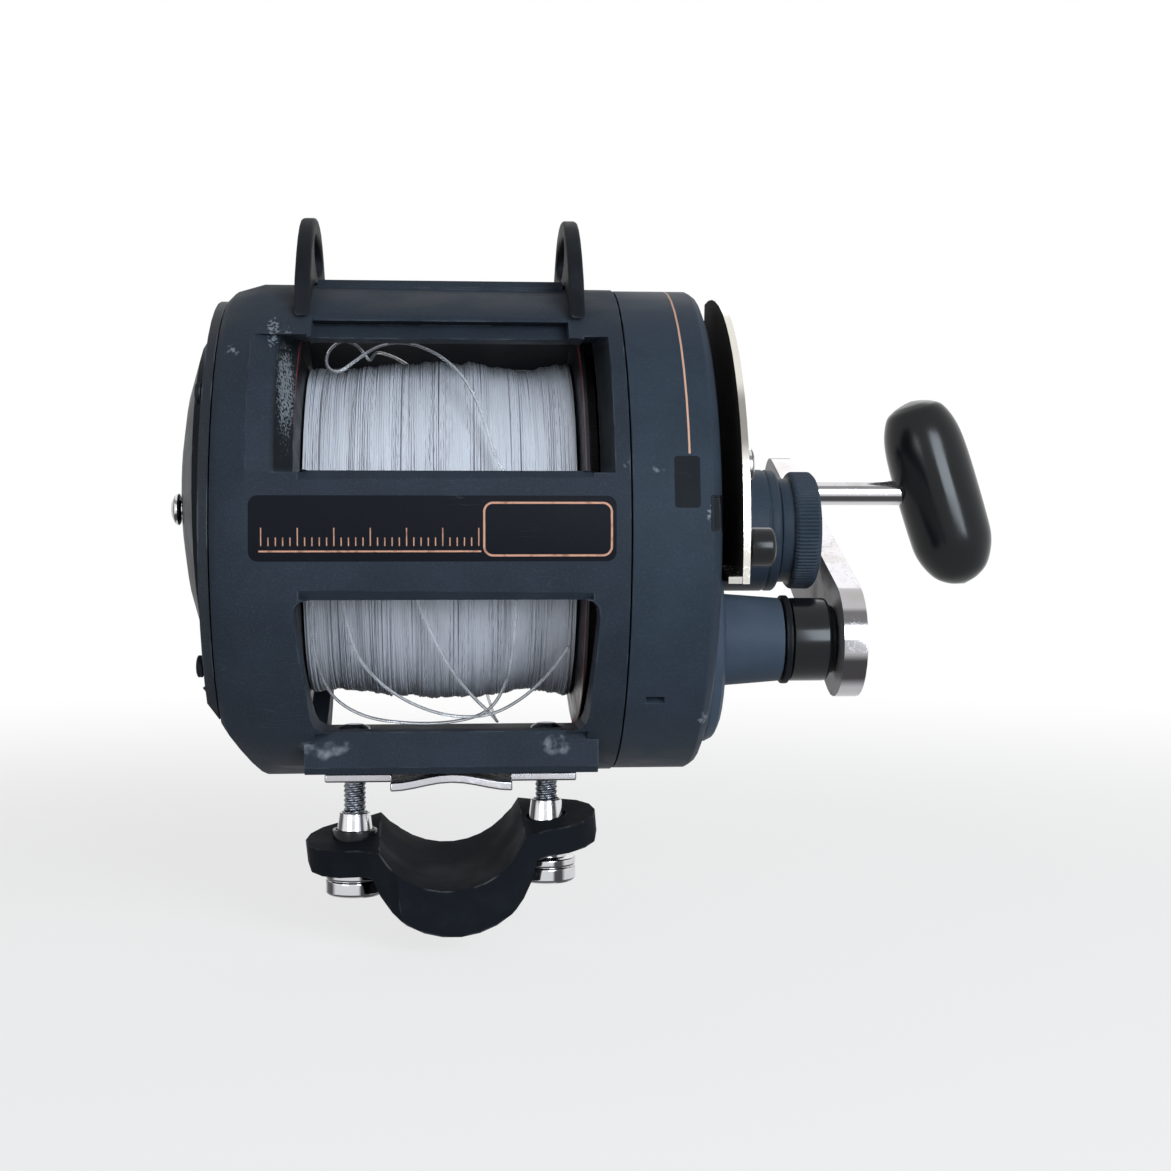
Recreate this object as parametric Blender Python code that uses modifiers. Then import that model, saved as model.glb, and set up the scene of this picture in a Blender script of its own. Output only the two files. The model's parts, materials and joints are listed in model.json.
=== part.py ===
"""Lever drag reel, in metres with +Z up.

X is the spool axis with the crank at +X, and Y is the rod's direction with the rod tip at +Y. The origin is the
rod seat: the middle of the foot's underside. Every place below is measured from the spool axis, which an empty
carries at its height over the rod seat, and the moving pieces hang on empties that stand on their own axes.
"""

import math

import bmesh
import bpy
from mathutils import Euler, Vector

MM = 0.001
DEG = math.pi / 180.0

# Driving dimensions
RING_RADIUS = 46.0 * MM
RING_WALL = 7.4 * MM
RING_BORE = RING_RADIUS - RING_WALL
SEAT_DROP = 1.0 * MM
AXIS_HEIGHT = RING_RADIUS + SEAT_DROP
SPOOL_HALF_WIDTH = 24.4 * MM
FLANGE_CLEARANCE = 1.1 * MM
FLANGE_RADIUS = RING_BORE - FLANGE_CLEARANCE
SHAFT_RADIUS = 3.0 * MM
GEAR_MODULE = 0.67 * MM
MAIN_TEETH = 54
PINION_TEETH = 15
HANDLE_BEARING = -117.5 * DEG
HANDLE_LENGTH = 74.0 * MM
HANDLE_SLOPE = 23.0 * DEG
STUD_SPACING = 36.6 * MM
FOOT_X = 1.9 * MM

# Clearances and cutter overruns
GAP = 0.3 * MM
BACKLASH = 0.12 * MM
OVERRUN = 2.0 * MM
BURIED = 0.6 * MM

# Facets of round pieces
SEGMENTS_LARGE = 48
SEGMENTS_BEVEL = 44
SEGMENTS_SPOOL = 32
SEGMENTS_MEDIUM = 24
SEGMENTS_SMALL = 14
SEGMENTS_STUD = 12
SEGMENTS_SCREW = 8

# One-piece frame: two rings, a label bar, a hood with its deck, a front bar and a foot bar
LEFT_FACE = -38.4 * MM
RIGHT_FACE = 32.0 * MM
LEFT_EDGE = -25.0 * MM
RIGHT_EDGE = 27.2 * MM
LEFT_BEVEL = 2.8 * MM
RIGHT_BEVEL = 1.9 * MM
BEVEL_DROP = 1.5 * MM
RIGHT_RING_STEP = 0.4 * MM
RIGHT_RING_RADIUS = RING_RADIUS - RIGHT_RING_STEP
RING_CREASE = -32.3 * MM
RING_SHOULDER = 1.4 * MM
RING_CHAMFER = 1.3 * MM
LABEL_TOP = 10.0 * MM
LABEL_BOTTOM = -11.7 * MM
LABEL_CHAMFER = 1.4 * MM
HOOD_DEPTH = 12.4 * MM
WINDOW_TOP = RING_RADIUS - HOOD_DEPTH
FRONT_DIP = 1.2 * MM
STRIP_HEIGHT = 2.9 * MM
STRIP_RECESS = 2.6 * MM
STRIP_LIP = 1.0 * MM
STRIP_ROUND = 2.0 * MM
DECK_HALF_DEPTH = 12.0 * MM
DECK_THICKNESS = 7.0 * MM
DECK_TOP = RING_RADIUS
DECK_UNDERSIDE = DECK_TOP - DECK_THICKNESS
DECK_LEFT = -22.3 * MM
DECK_RIGHT = 22.6 * MM
FOOT_BAR_RECESS = 2.6 * MM
FOOT_BAR_THICKNESS = 4.7 * MM
LIP_HEIGHT = 3.0 * MM
FOOT_BAR_UNDERSIDE = FOOT_BAR_RECESS - RING_RADIUS
FOOT_BAR_FLOOR = FOOT_BAR_UNDERSIDE + FOOT_BAR_THICKNESS
LIP_TOP = FOOT_BAR_FLOOR + LIP_HEIGHT
FOOT_BAR_REAR = -26.0 * MM
FOOT_BAR_FRONT = 16.0 * MM
LIP_DEPTH = 5.0 * MM
FRONT_BAR_TOP = -8.0 * MM
FRONT_BAR_BOTTOM = -24.0 * MM
FOOT_LEFT_EDGE = -22.1 * MM
FOOT_RIGHT_EDGE = 26.1 * MM
SLANT_HEIGHT = 16.0 * MM
SLANT_TOP = SLANT_HEIGHT - RING_RADIUS
SLANT_ANGLE = 28.0 * DEG
CORNER_RADIUS = 3.0 * MM

# Left side cover with its off-centre boss
COVER_STEP = 3.2 * MM
COVER_RIM = RING_RADIUS - COVER_STEP
COVER_RIM_WIDTH = 4.4 * MM
COVER_SHOULDER = COVER_RIM - COVER_RIM_WIDTH
COVER_RIM_FACE = -40.4 * MM
COVER_DOME = -42.5 * MM
COVER_SLOPE = 12.4 * MM
COVER_FLAT = COVER_SHOULDER - COVER_SLOPE
COVER_WALL = 2.2 * MM
BOSS_CENTRE = 6.5 * MM
BOSS_MARGIN = 9.6 * MM
BOSS_RADIUS = COVER_SHOULDER - BOSS_MARGIN
BOSS_EDGE = -43.1 * MM
BOSS_SLOPE = 7.8 * MM
BOSS_SHOULDER_RADIUS = BOSS_RADIUS - BOSS_SLOPE
BOSS_SHOULDER = -45.5 * MM
BOSS_CROWN = 7.0 * MM
BOSS_FLAT = BOSS_SHOULDER_RADIUS - BOSS_CROWN
BOSS_FACE = -46.8 * MM
BOSS_WALL = 1.9 * MM
POCKET_MARGIN = 2.4 * MM
POCKET_RADIUS = BOSS_SHOULDER_RADIUS - POCKET_MARGIN
HUB_RADIUS = 7.0 * MM
HUB_END = -33.4 * MM
COVER_SCREW_MARGIN = 2.1 * MM
COVER_SCREW_CIRCLE = COVER_RIM - COVER_SCREW_MARGIN
COVER_SCREW_ANGLES = (35.0 * DEG, 145.0 * DEG, 215.0 * DEG, 325.0 * DEG)

# Clicker: a button that slides in a slot of the boss, with its tongue, and the gear on the spool
CLICK_PLACE = (-13.0 * MM, 3.8 * MM)
CLICK_SHANK = 1.5 * MM
CLICK_HEAD = 2.9 * MM
CLICK_HEAD_HEIGHT = 1.5 * MM
CLICK_TRAVEL = 2.6 * MM
CLICK_TEETH = 20
CLICK_GEAR_TIP = 8.6 * MM
CLICK_GEAR_ROOT = 7.2 * MM
CLICK_GEAR_THICKNESS = 1.6 * MM
TONGUE_REST = 10.2 * MM
TONGUE_HALF = 2.7 * MM
TONGUE_SHOULDER = 0.6 * MM
TONGUE_NECK = 2.1 * MM
TONGUE_NECK_HALF = 0.85 * MM
TONGUE_TIP = 0.3 * MM
SPRING_WIRE = 0.35 * MM
SPRING_LEG = 7.0 * MM

# Spool, line and the parts on the spool
ARBOR_RADIUS = 18.0 * MM
ARBOR_WALL = 2.5 * MM
FLANGE_THICKNESS = 1.6 * MM
FLANGE_RIM = 0.6 * MM
FLANGE_FLARE = 6.5 * MM
FLANGE_CHAMFER = 0.6 * MM
WEB_THICKNESS = 2.0 * MM
BEARING_OUTER = 6.5 * MM
BEARING_WIDTH = 5.0 * MM
LINE_TURNS = 10
LINE_TUBE = 1.6 * MM
LINE_DEPTH = 7.0 * MM
LINE_LOOP_RADIUS = FLANGE_RADIUS - LINE_DEPTH
LINE_LOOP_POINTS = 24
DISC_INNER = 12.0 * MM
DISC_MARGIN = 3.5 * MM
DISC_OUTER = FLANGE_RADIUS - DISC_MARGIN
DISC_THICKNESS = 1.3 * MM
SHIFT_TRAVEL = 0.6 * MM
SHAFT_COLLAR = 5.0 * MM
SHAFT_COLLAR_WIDTH = 1.5 * MM
PLATE_THICKNESS = 1.8 * MM

# Right side: bridge plate, bearings, housing and gear cover
HOUSING_RADIUS = 45.4 * MM
BRIDGE_MARGIN = 3.3 * MM
BRIDGE_RADIUS = HOUSING_RADIUS - BRIDGE_MARGIN
BRIDGE_THICKNESS = 1.9 * MM
PINION_BEARING_OUTER = 9.0 * MM
PINION_BEARING_WIDTH = 4.0 * MM
BEARING_BOSS = 11.4 * MM
HOUSING_FACE = 47.8 * MM
HOUSING_WALL = 2.7 * MM
HOUSING_ROUND = 1.8 * MM
CAM_HOLE = 8.4 * MM
COVER_DISC = 19.0 * MM
COVER_DISC_FACE = 50.9 * MM
COVER_DISC_ROUND = 2.2 * MM
HANDLE_BOSS_ROOT = 8.8 * MM
HANDLE_BOSS_TIP = 7.8 * MM
HANDLE_BOSS_END = 63.3 * MM
GEAR_SHAFT_RADIUS = 4.0 * MM
BUSH_RADIUS = 5.8 * MM
BUSH_LENGTH = 6.0 * MM
SLOT_ANGLE = 221.0 * DEG
SLOT_X = 37.3 * MM
SLOT_LENGTH = 3.2 * MM
SLOT_HEIGHT = 1.6 * MM
NOTCH_HEIGHT = 5.6 * MM
NOTCH_DEPTH = 1.6 * MM

# Gears and the anti-reverse
ADDENDUM_SHARE = 0.8
DEDENDUM_SHARE = 1.05
PRESSURE_ANGLE = 20.0 * DEG
MAIN_GEAR_LEFT = 39.0 * MM
MAIN_GEAR_RIGHT = 44.2 * MM
RATCHET_TEETH = 12
RATCHET_TIP = 11.0 * MM
RATCHET_ROOT = 8.6 * MM
RATCHET_LEFT = 35.9 * MM
RATCHET_RIGHT = 38.2 * MM
PAWL_DISTANCE = 16.0 * MM
PAWL_BEARING = -20.0 * DEG
PAWL_ARM = 9.0 * MM
PAWL_EYE = 2.7 * MM
PAWL_TIP = 0.4 * MM
PAWL_PIN = 1.5 * MM
PAWL_BITE = 0.9 * MM
PAWL_SEAT_SHARE = 0.86

# Drag lever, its knob and rivet, the cam, the cap and the preset knob
LEVER_INNER_FACE = 51.3 * MM
LEVER_THICKNESS = 1.2 * MM
LEVER_MARGIN = 1.4 * MM
LEVER_RADIUS = HOUSING_RADIUS - LEVER_MARGIN
LEVER_HUB = 12.0 * MM
LEVER_LOW = -12.0 * DEG
LEVER_HIGH = 95.0 * DEG
LEVER_CLEAR = 38.0 * DEG
LEVER_FOLD = 2.4 * MM
LEVER_FOLD_LENGTH = 9.0 * MM
CAM_RADIUS = 8.0 * MM
CAM_LEFT = 44.6 * MM
KNOB_PLACE = (-40.0 * MM, -2.9 * MM)
KNOB_RADIUS = 3.4 * MM
KNOB_LENGTH = 4.7 * MM
RIVET_PLACE = (-36.3 * MM, 11.2 * MM)
RIVET_RADIUS = 3.0 * MM
RIVET_HEIGHT = 1.5 * MM
CAP_RADIUS = 11.7 * MM
CAP_END = 64.1 * MM
PRESET_RADIUS = 11.3 * MM
PRESET_NECK = 10.0 * MM
PRESET_LEFT = 66.7 * MM
PRESET_RIGHT = 71.8 * MM

# Handle: washer, collar, arm, nut, grip shaft and grip
WASHER_RADIUS = 8.3 * MM
WASHER_WIDTH = 1.2 * MM
COLLAR_RADIUS = 7.8 * MM
COLLAR_END = 72.3 * MM
COLLAR_NECK = 6.4 * MM
ARM_LEFT = 73.7 * MM
ARM_RIGHT = 78.1 * MM
ARM_HUB = 10.8 * MM
ARM_TIP = 7.8 * MM
ARM_BEVEL = 1.1 * MM
TANG_RADIUS = 3.4 * MM
NUT_RADIUS = 5.2 * MM
NUT_HEIGHT = 1.2 * MM
GRIP_SHAFT_RADIUS = 2.75 * MM
GRIP_HEAD_RADIUS = 4.1 * MM
GRIP_CENTRE = 112.3 * MM
GRIP_LENGTH = 43.0 * MM
GRIP_RADIUS = 9.1 * MM
GRIP_TILT = 17.0 * DEG
GRIP_PROFILE_SHARES = (
    (1.0, 0.0),
    (0.97, 0.34),
    (0.86, 0.7),
    (0.64, 0.93),
    (0.3, 1.0),
    (-0.35, 1.0),
    (-0.62, 0.93),
    (-0.84, 0.66),
    (-0.97, 0.26),
    (-1.0, 0.0),
)

# Harness lugs, as shares of the arch's height over the ring and of its half length
LUG_THICKNESS = 2.8 * MM
LUG_LEFT = -25.6 * MM
LUG_RIGHT = 22.9 * MM
LUG_HEIGHT = 12.6 * MM
LUG_HALF_LENGTH = 27.5 * MM
LUG_EYE_HALF = 12.0 * MM
LUG_EYE_HEIGHT = 3.9 * MM
LUG_EYE_RISE = 5.6 * MM
LUG_EYE_CENTRE = RING_RADIUS + LUG_EYE_RISE
LUG_ARCH_POINTS = 14
LUG_FULLNESS_SHARE = 2.2
LUG_SHOULDER_SHARE = 0.8

# Foot, spacers, studs, sleeve nuts and the rod clamp
FOOT_THICKNESS = 1.7 * MM
FOOT_HALF_WIDTH = 23.5 * MM
FOOT_WING_DEPTH = 18.0 * MM
FOOT_TONGUE_DEPTH = 44.0 * MM
FOOT_ARCH_HALF = 11.0 * MM
FOOT_ARCH_RISE = 1.5 * MM
FOOT_ARCH_POINTS = 10
SPACER_WIDTH = 11.0 * MM
SPACER_DEPTH = 14.0 * MM
STUD_RADIUS = 2.15 * MM
STUD_HEAD = 3.0 * MM
STUD_HEAD_HEIGHT = 1.5 * MM
NUT_GAP = 4.5 * MM
NUT_TOP = -AXIS_HEIGHT - NUT_GAP
NUT_DROP = 2.2 * MM
NUT_CONE = 5.6 * MM
NUT_CONE_TIP = 2.9 * MM
NUT_SLEEVE = 3.6 * MM
NUT_SLEEVE_LENGTH = 11.2 * MM
NUT_FLANGE = 5.6 * MM
NUT_FLANGE_HEIGHT = 4.6 * MM
CLAMP_DROP = 4.9 * MM
CLAMP_LEVEL = NUT_TOP - CLAMP_DROP
STUD_TAIL = 9.6 * MM
STUD_END = CLAMP_LEVEL - STUD_TAIL
CLAMP_ROLL = 5.5 * DEG
CLAMP_PITCH = 8.5 * DEG
CLAMP_HALF_WIDTH = 27.8 * MM
CLAMP_DEPTH = 30.0 * MM
CLAMP_EAR_DEPTH = 20.0 * MM
CLAMP_EAR_THICKNESS = 5.2 * MM
CLAMP_SADDLE_RADIUS = 15.4 * MM
CLAMP_SADDLE_DEPTH = 8.2 * MM
CLAMP_BODY_RADIUS = 15.9 * MM
CLAMP_WALL = 9.0 * MM
CLAMP_BEVEL = 0.9 * MM
CLAMP_SHOULDER_SHARE = 0.6

# Small screws
SCREW_HEAD = 1.9 * MM
SCREW_HEAD_HEIGHT = 1.1 * MM
SCREW_SHANK = 1.0 * MM
SCREW_LENGTH = 6.0 * MM
HOUSING_SCREW_MARGIN = 13.9 * MM
HOUSING_SCREW_CIRCLE = HOUSING_RADIUS - HOUSING_SCREW_MARGIN
HOUSING_SCREW_ANGLES = (20.0 * DEG, 95.0 * DEG, 155.0 * DEG)

# Loose line: the route's points as (along X, angle up from the rear, distance from the axis)
LOOSE_RADIUS = 0.3 * MM
LOOSE_POINTS = 80
LOOSE_ROUTE = (
    (19.0 * MM, 14.0 * DEG, 33.1 * MM),
    (12.6 * MM, 15.0 * DEG, 33.6 * MM),
    (9.6 * MM, 22.0 * DEG, 34.6 * MM),
    (7.2 * MM, 36.0 * DEG, 35.6 * MM),
    (4.4 * MM, 47.0 * DEG, 36.4 * MM),
    (0.8 * MM, 56.0 * DEG, 37.0 * MM),
    (-3.6 * MM, 62.5 * DEG, 37.5 * MM),
    (-8.0 * MM, 65.0 * DEG, 37.6 * MM),
    (-12.0 * MM, 62.5 * DEG, 37.0 * MM),
    (-15.6 * MM, 57.0 * DEG, 35.8 * MM),
    (-18.4 * MM, 53.5 * DEG, 34.9 * MM),
    (-20.3 * MM, 57.0 * DEG, 35.3 * MM),
    (-20.0 * MM, 62.5 * DEG, 36.6 * MM),
    (-17.9 * MM, 66.0 * DEG, 37.6 * MM),
    (-15.2 * MM, 64.5 * DEG, 37.4 * MM),
    (-13.6 * MM, 60.0 * DEG, 35.9 * MM),
    (-12.6 * MM, 67.0 * DEG, 34.2 * MM),
    (-11.2 * MM, 84.0 * DEG, 33.6 * MM),
    (-6.0 * MM, 108.0 * DEG, 33.8 * MM),
    (2.0 * MM, 132.0 * DEG, 34.2 * MM),
    (7.0 * MM, 156.0 * DEG, 33.9 * MM),
    (8.4 * MM, 182.0 * DEG, 33.6 * MM),
    (7.6 * MM, 208.0 * DEG, 33.8 * MM),
    (8.4 * MM, 236.0 * DEG, 34.8 * MM),
    (10.2 * MM, 262.0 * DEG, 35.9 * MM),
    (10.6 * MM, 281.0 * DEG, 36.6 * MM),
    (9.2 * MM, 293.5 * DEG, 36.8 * MM),
    (5.6 * MM, 304.0 * DEG, 36.0 * MM),
    (1.8 * MM, 315.0 * DEG, 34.9 * MM),
    (-1.6 * MM, 328.0 * DEG, 34.0 * MM),
    (-4.4 * MM, 341.0 * DEG, 33.5 * MM),
    (-4.6 * MM, 353.0 * DEG, 33.4 * MM),
    (-0.6 * MM, 361.0 * DEG, 33.4 * MM),
    (5.4 * MM, 361.5 * DEG, 33.4 * MM),
    (10.6 * MM, 354.5 * DEG, 33.4 * MM),
    (13.0 * MM, 341.0 * DEG, 33.5 * MM),
    (12.8 * MM, 324.0 * DEG, 34.1 * MM),
    (11.6 * MM, 309.0 * DEG, 35.3 * MM),
    (8.6 * MM, 295.5 * DEG, 36.5 * MM),
    (2.6 * MM, 287.0 * DEG, 37.1 * MM),
    (-6.0 * MM, 284.0 * DEG, 37.0 * MM),
    (-14.0 * MM, 289.0 * DEG, 36.2 * MM),
    (-19.6 * MM, 302.0 * DEG, 35.0 * MM),
    (-22.0 * MM, 319.0 * DEG, 34.1 * MM),
    (-22.0 * MM, 336.0 * DEG, 33.6 * MM),
    (-20.4 * MM, 346.0 * DEG, 33.5 * MM),
    (-18.4 * MM, 342.0 * DEG, 33.5 * MM),
    (-17.2 * MM, 331.0 * DEG, 33.7 * MM),
    (-14.2 * MM, 318.0 * DEG, 34.3 * MM),
    (-9.4 * MM, 306.0 * DEG, 35.3 * MM),
    (-3.4 * MM, 298.0 * DEG, 36.6 * MM),
    (3.2 * MM, 293.6 * DEG, 37.3 * MM),
    (9.4 * MM, 295.0 * DEG, 37.1 * MM),
    (14.8 * MM, 303.0 * DEG, 36.2 * MM),
    (19.2 * MM, 313.0 * DEG, 35.2 * MM),
    (22.6 * MM, 323.5 * DEG, 34.6 * MM),
)

# Finishes: colour, roughness, metallic
GRAPHITE = ("graphite", (0.045, 0.055, 0.075), 0.55, 0.0)
GRAPHITE_DARK = ("graphite_dark", (0.022, 0.026, 0.034), 0.5, 0.0)
GLOSS_BLACK = ("gloss_black", (0.012, 0.012, 0.014), 0.18, 0.0)
SATIN_BLACK = ("satin_black", (0.016, 0.018, 0.022), 0.4, 0.0)
CHROME = ("chrome", (0.82, 0.82, 0.84), 0.12, 1.0)
ZINC = ("zinc", (0.62, 0.64, 0.66), 0.32, 1.0)
STEEL = ("steel", (0.55, 0.56, 0.58), 0.3, 1.0)
BRASS = ("brass", (0.72, 0.52, 0.22), 0.3, 1.0)
ALLOY = ("black_alloy", (0.03, 0.032, 0.036), 0.35, 0.6)
LINE = ("line", (0.78, 0.77, 0.8), 0.35, 0.0)
FIBRE = ("fibre", (0.16, 0.12, 0.09), 0.8, 0.0)

CENTRE_DISTANCE = GEAR_MODULE * (MAIN_TEETH + PINION_TEETH) / 2
HANDLE_PLACE = (CENTRE_DISTANCE * math.cos(HANDLE_BEARING), CENTRE_DISTANCE * math.sin(HANDLE_BEARING))
GRIP_PLACE = (
    HANDLE_PLACE[0] + HANDLE_LENGTH * math.cos(HANDLE_SLOPE),
    HANDLE_PLACE[1] + HANDLE_LENGTH * math.sin(HANDLE_SLOPE),
)
SIDES = ("left", "right")
STUD_PLACES = (FOOT_X - STUD_SPACING / 2, FOOT_X + STUD_SPACING / 2)
SHAFT_BORE = SHAFT_RADIUS + GAP
FLANGE_OUTSIDE = SPOOL_HALF_WIDTH + FLANGE_THICKNESS
DISC_LEFT = FLANGE_OUTSIDE + GAP
PLATE_LEFT = DISC_LEFT + DISC_THICKNESS + SHIFT_TRAVEL + GAP
PINION_LEFT = PLATE_LEFT + PLATE_THICKNESS + GAP
BRIDGE_LEFT = RIGHT_FACE + GAP
BRIDGE_RIGHT = BRIDGE_LEFT + BRIDGE_THICKNESS
LINE_HALF_WIDTH = SPOOL_HALF_WIDTH - GAP


class Bench:
    """The scene's collections, its finishes and the empty on the spool axis."""

    def __init__(self):
        for item in list(bpy.data.objects):
            bpy.data.objects.remove(item)
        self.parts = self.collection("lever_drag_reel")
        self.tools = self.collection("cutters")
        self.finishes = {}
        self.axis = self.empty("spool_axis", (0, 0, AXIS_HEIGHT))

    def collection(self, name):
        """Make a collection in the scene."""
        group = bpy.data.collections.new(name)
        bpy.context.scene.collection.children.link(group)
        return group

    def empty(self, name, place, parent=None):
        """Stand an empty at a place."""
        marker = bpy.data.objects.new(name, None)
        marker.location = place
        marker.parent = parent
        self.parts.objects.link(marker)
        return marker

    def finish(self, values):
        """Return the material of a finish, made once."""
        name, colour, roughness, metallic = values
        if name not in self.finishes:
            material = bpy.data.materials.new(name)
            material.use_nodes = True
            shader = material.node_tree.nodes["Principled BSDF"]
            shader.inputs["Base Color"].default_value = (*colour, 1.0)
            shader.inputs["Roughness"].default_value = roughness
            shader.inputs["Metallic"].default_value = metallic
            material.diffuse_color = (*colour, 1.0)
            self.finishes[name] = material
        return self.finishes[name]

    def add(self, item, finish):
        """Link an object as a part with its finish, or as a cutter when the finish is None."""
        if item.parent is None:
            item.parent = self.axis
        if finish is None:
            self.tools.objects.link(item)
            item.hide_render = True
            item.display_type = "WIRE"
            return item
        self.parts.objects.link(item)
        item.data.materials.clear()
        item.data.materials.append(self.finish(finish))
        return item


BENCH = None


def turned(name, profile, finish, segments=SEGMENTS_MEDIUM, place=(0, 0), along="X"):
    """Turn (along, radius) points about an axis; the outer side comes first, from the + end to the - end.

    A profile that starts on the axis ends there too. Any other profile is a closed loop round a bore.
    The place is (y, z) for an axis along X and (x, y) for an axis along Z.
    """
    mesh = bpy.data.meshes.new(name)
    points = [(radius, 0.0, distance) for distance, radius in profile]
    edges = [(index, index + 1) for index in range(len(points) - 1)]
    if points[0][0] > 0:
        edges.append((len(points) - 1, 0))
    mesh.from_pydata(points, edges, [])
    item = bpy.data.objects.new(name, mesh)
    if along == "X":
        item.location = (0, place[0], place[1])
        item.rotation_euler = (0, math.pi / 2, 0)
    else:
        item.location = (place[0], place[1], 0)
    screw = item.modifiers.new("turn", "SCREW")
    screw.axis = "Z"
    screw.steps = segments
    screw.render_steps = segments
    screw.use_merge_vertices = True
    screw.merge_threshold = 1e-5
    screw.use_smooth_shade = True
    return BENCH.add(item, finish)


def prism(name, outlines, low, high, finish, plane="YZ", place=(0, 0)):
    """Extrude flat outlines from low to high along the plane's normal; outlines after the first are holes."""
    curve = bpy.data.curves.new(name, "CURVE")
    curve.dimensions = "2D"
    curve.fill_mode = "BOTH"
    curve.extrude = (high - low) / 2
    for outline in outlines:
        spline = curve.splines.new("POLY")
        spline.points.add(len(outline) - 1)
        for point, (first, second) in zip(spline.points, outline):
            point.co = (-second, first, 0, 1) if plane == "YZ" else (first, second, 0, 1)
        spline.use_cyclic_u = True
    middle = (low + high) / 2
    item = bpy.data.objects.new(name, curve)
    if plane == "YZ":
        item.location = (middle, place[0], place[1])
        item.rotation_euler = (0, math.pi / 2, 0)
    elif plane == "XZ":
        item.location = (place[0], middle, place[1])
        item.rotation_euler = (math.pi / 2, 0, 0)
    else:
        item.location = (place[0], place[1], middle)
    return as_mesh(item, finish)


def as_mesh(item, finish):
    """Swap a curve object for a welded mesh object of the same name and place."""
    bpy.context.scene.collection.objects.link(item)
    graph = bpy.context.evaluated_depsgraph_get()
    mesh = bpy.data.meshes.new_from_object(item.evaluated_get(graph))
    work = bmesh.new()
    work.from_mesh(mesh)
    bmesh.ops.remove_doubles(work, verts=work.verts, dist=1e-6)
    work.to_mesh(mesh)
    work.free()
    name = item.name
    place = item.location.copy()
    turn = item.rotation_euler.copy()
    bpy.data.objects.remove(item)
    solid = bpy.data.objects.new(name, mesh)
    solid.location = place
    solid.rotation_euler = turn
    return BENCH.add(solid, finish)


def block(name, low, high, finish):
    """Make a box between two corners."""
    mesh = bpy.data.meshes.new(name)
    work = bmesh.new()
    bmesh.ops.create_cube(work, size=1.0)
    size = Vector(high) - Vector(low)
    bmesh.ops.scale(work, vec=size, verts=work.verts)
    work.to_mesh(mesh)
    work.free()
    item = bpy.data.objects.new(name, mesh)
    item.location = (Vector(low) + Vector(high)) / 2
    return BENCH.add(item, finish)


def tube(name, points, radius, finish, resolution=2):
    """Make a round tube with filled ends along points."""
    curve = bpy.data.curves.new(name, "CURVE")
    curve.dimensions = "3D"
    curve.bevel_depth = radius
    curve.bevel_resolution = resolution
    curve.use_fill_caps = True
    spline = curve.splines.new("POLY")
    spline.points.add(len(points) - 1)
    for point, place in zip(spline.points, points):
        point.co = (*place, 1)
    return BENCH.add(bpy.data.objects.new(name, curve), finish)


def combine(target, tool, operation="DIFFERENCE"):
    """Cut the tool out of the target, or join or intersect it."""
    modifier = target.modifiers.new(tool.name, "BOOLEAN")
    modifier.operation = operation
    modifier.object = tool
    modifier.solver = "EXACT"
    return target


def soften(target, width, angle=40.0 * DEG):
    """Bevel the sharp edges of an object."""
    modifier = target.modifiers.new("soften", "BEVEL")
    modifier.width = width
    modifier.segments = 1
    modifier.limit_method = "ANGLE"
    modifier.angle_limit = angle
    return target


def circle(radius, count, centre=(0, 0)):
    """Points of a circle, counter-clockwise."""
    steps = [2 * math.pi * index / count for index in range(count)]
    return [(centre[0] + radius * math.cos(step), centre[1] + radius * math.sin(step)) for step in steps]


def arc(radius, start, end, count, centre=(0, 0)):
    """Points of an arc from start to end, both included."""
    steps = [start + (end - start) * index / (count - 1) for index in range(count)]
    return [(centre[0] + radius * math.cos(step), centre[1] + radius * math.sin(step)) for step in steps]


def rounded(corners, radius, count=4):
    """Round every corner of an outline with a quadratic curve that starts a radius away from it."""
    points = []
    for index, corner in enumerate(corners):
        here = Vector(corner)
        before = Vector(corners[index - 1])
        after = Vector(corners[(index + 1) % len(corners)])
        start = here + (before - here).normalized() * radius
        end = here + (after - here).normalized() * radius
        for step in range(count):
            share = step / (count - 1)
            point = start * (1 - share) ** 2 + here * 2 * share * (1 - share) + end * share**2
            points.append(tuple(point))
    return points


def involute(radius, base):
    """The involute function of a radius over its base circle."""
    angle = math.acos(min(1.0, base / radius))
    return math.tan(angle) - angle


def gear_outline(teeth, phase):
    """Outline of a spur gear of the reel's module with a tooth's middle at the phase."""
    pitch = GEAR_MODULE * teeth / 2
    base = pitch * math.cos(PRESSURE_ANGLE)
    tip = pitch + ADDENDUM_SHARE * GEAR_MODULE
    root = pitch - DEDENDUM_SHARE * GEAR_MODULE
    half = (math.pi * GEAR_MODULE / 2 - BACKLASH) / 2 / pitch + involute(pitch, base)
    flank = [(radius, half - involute(max(radius, base), base)) for radius in (root, tip)]
    points = []
    for tooth in range(teeth):
        middle = phase + 2 * math.pi * tooth / teeth
        for radius, angle in flank:
            points.append((radius * math.cos(middle - angle), radius * math.sin(middle - angle)))
        for radius, angle in reversed(flank):
            points.append((radius * math.cos(middle + angle), radius * math.sin(middle + angle)))
    return points


def saw_outline(teeth, tip, root, phase):
    """Outline of a ratchet wheel: each tooth rises steeply at its own angle and slopes down to the next."""
    points = []
    for tooth in range(teeth):
        angle = phase + 2 * math.pi * tooth / teeth
        points.append((root * math.cos(angle), root * math.sin(angle)))
        points.append((tip * math.cos(angle), tip * math.sin(angle)))
    return points


def corner_angle(far, first, second):
    """The angle between two sides of a triangle whose third side is far."""
    return math.acos((first**2 + second**2 - far**2) / (2 * first * second))


def rear(angle, radius):
    """The (y, z) place at an angle up from the rear (-Y), at a radius from the spool axis."""
    return (-radius * math.cos(angle), radius * math.sin(angle))


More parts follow.
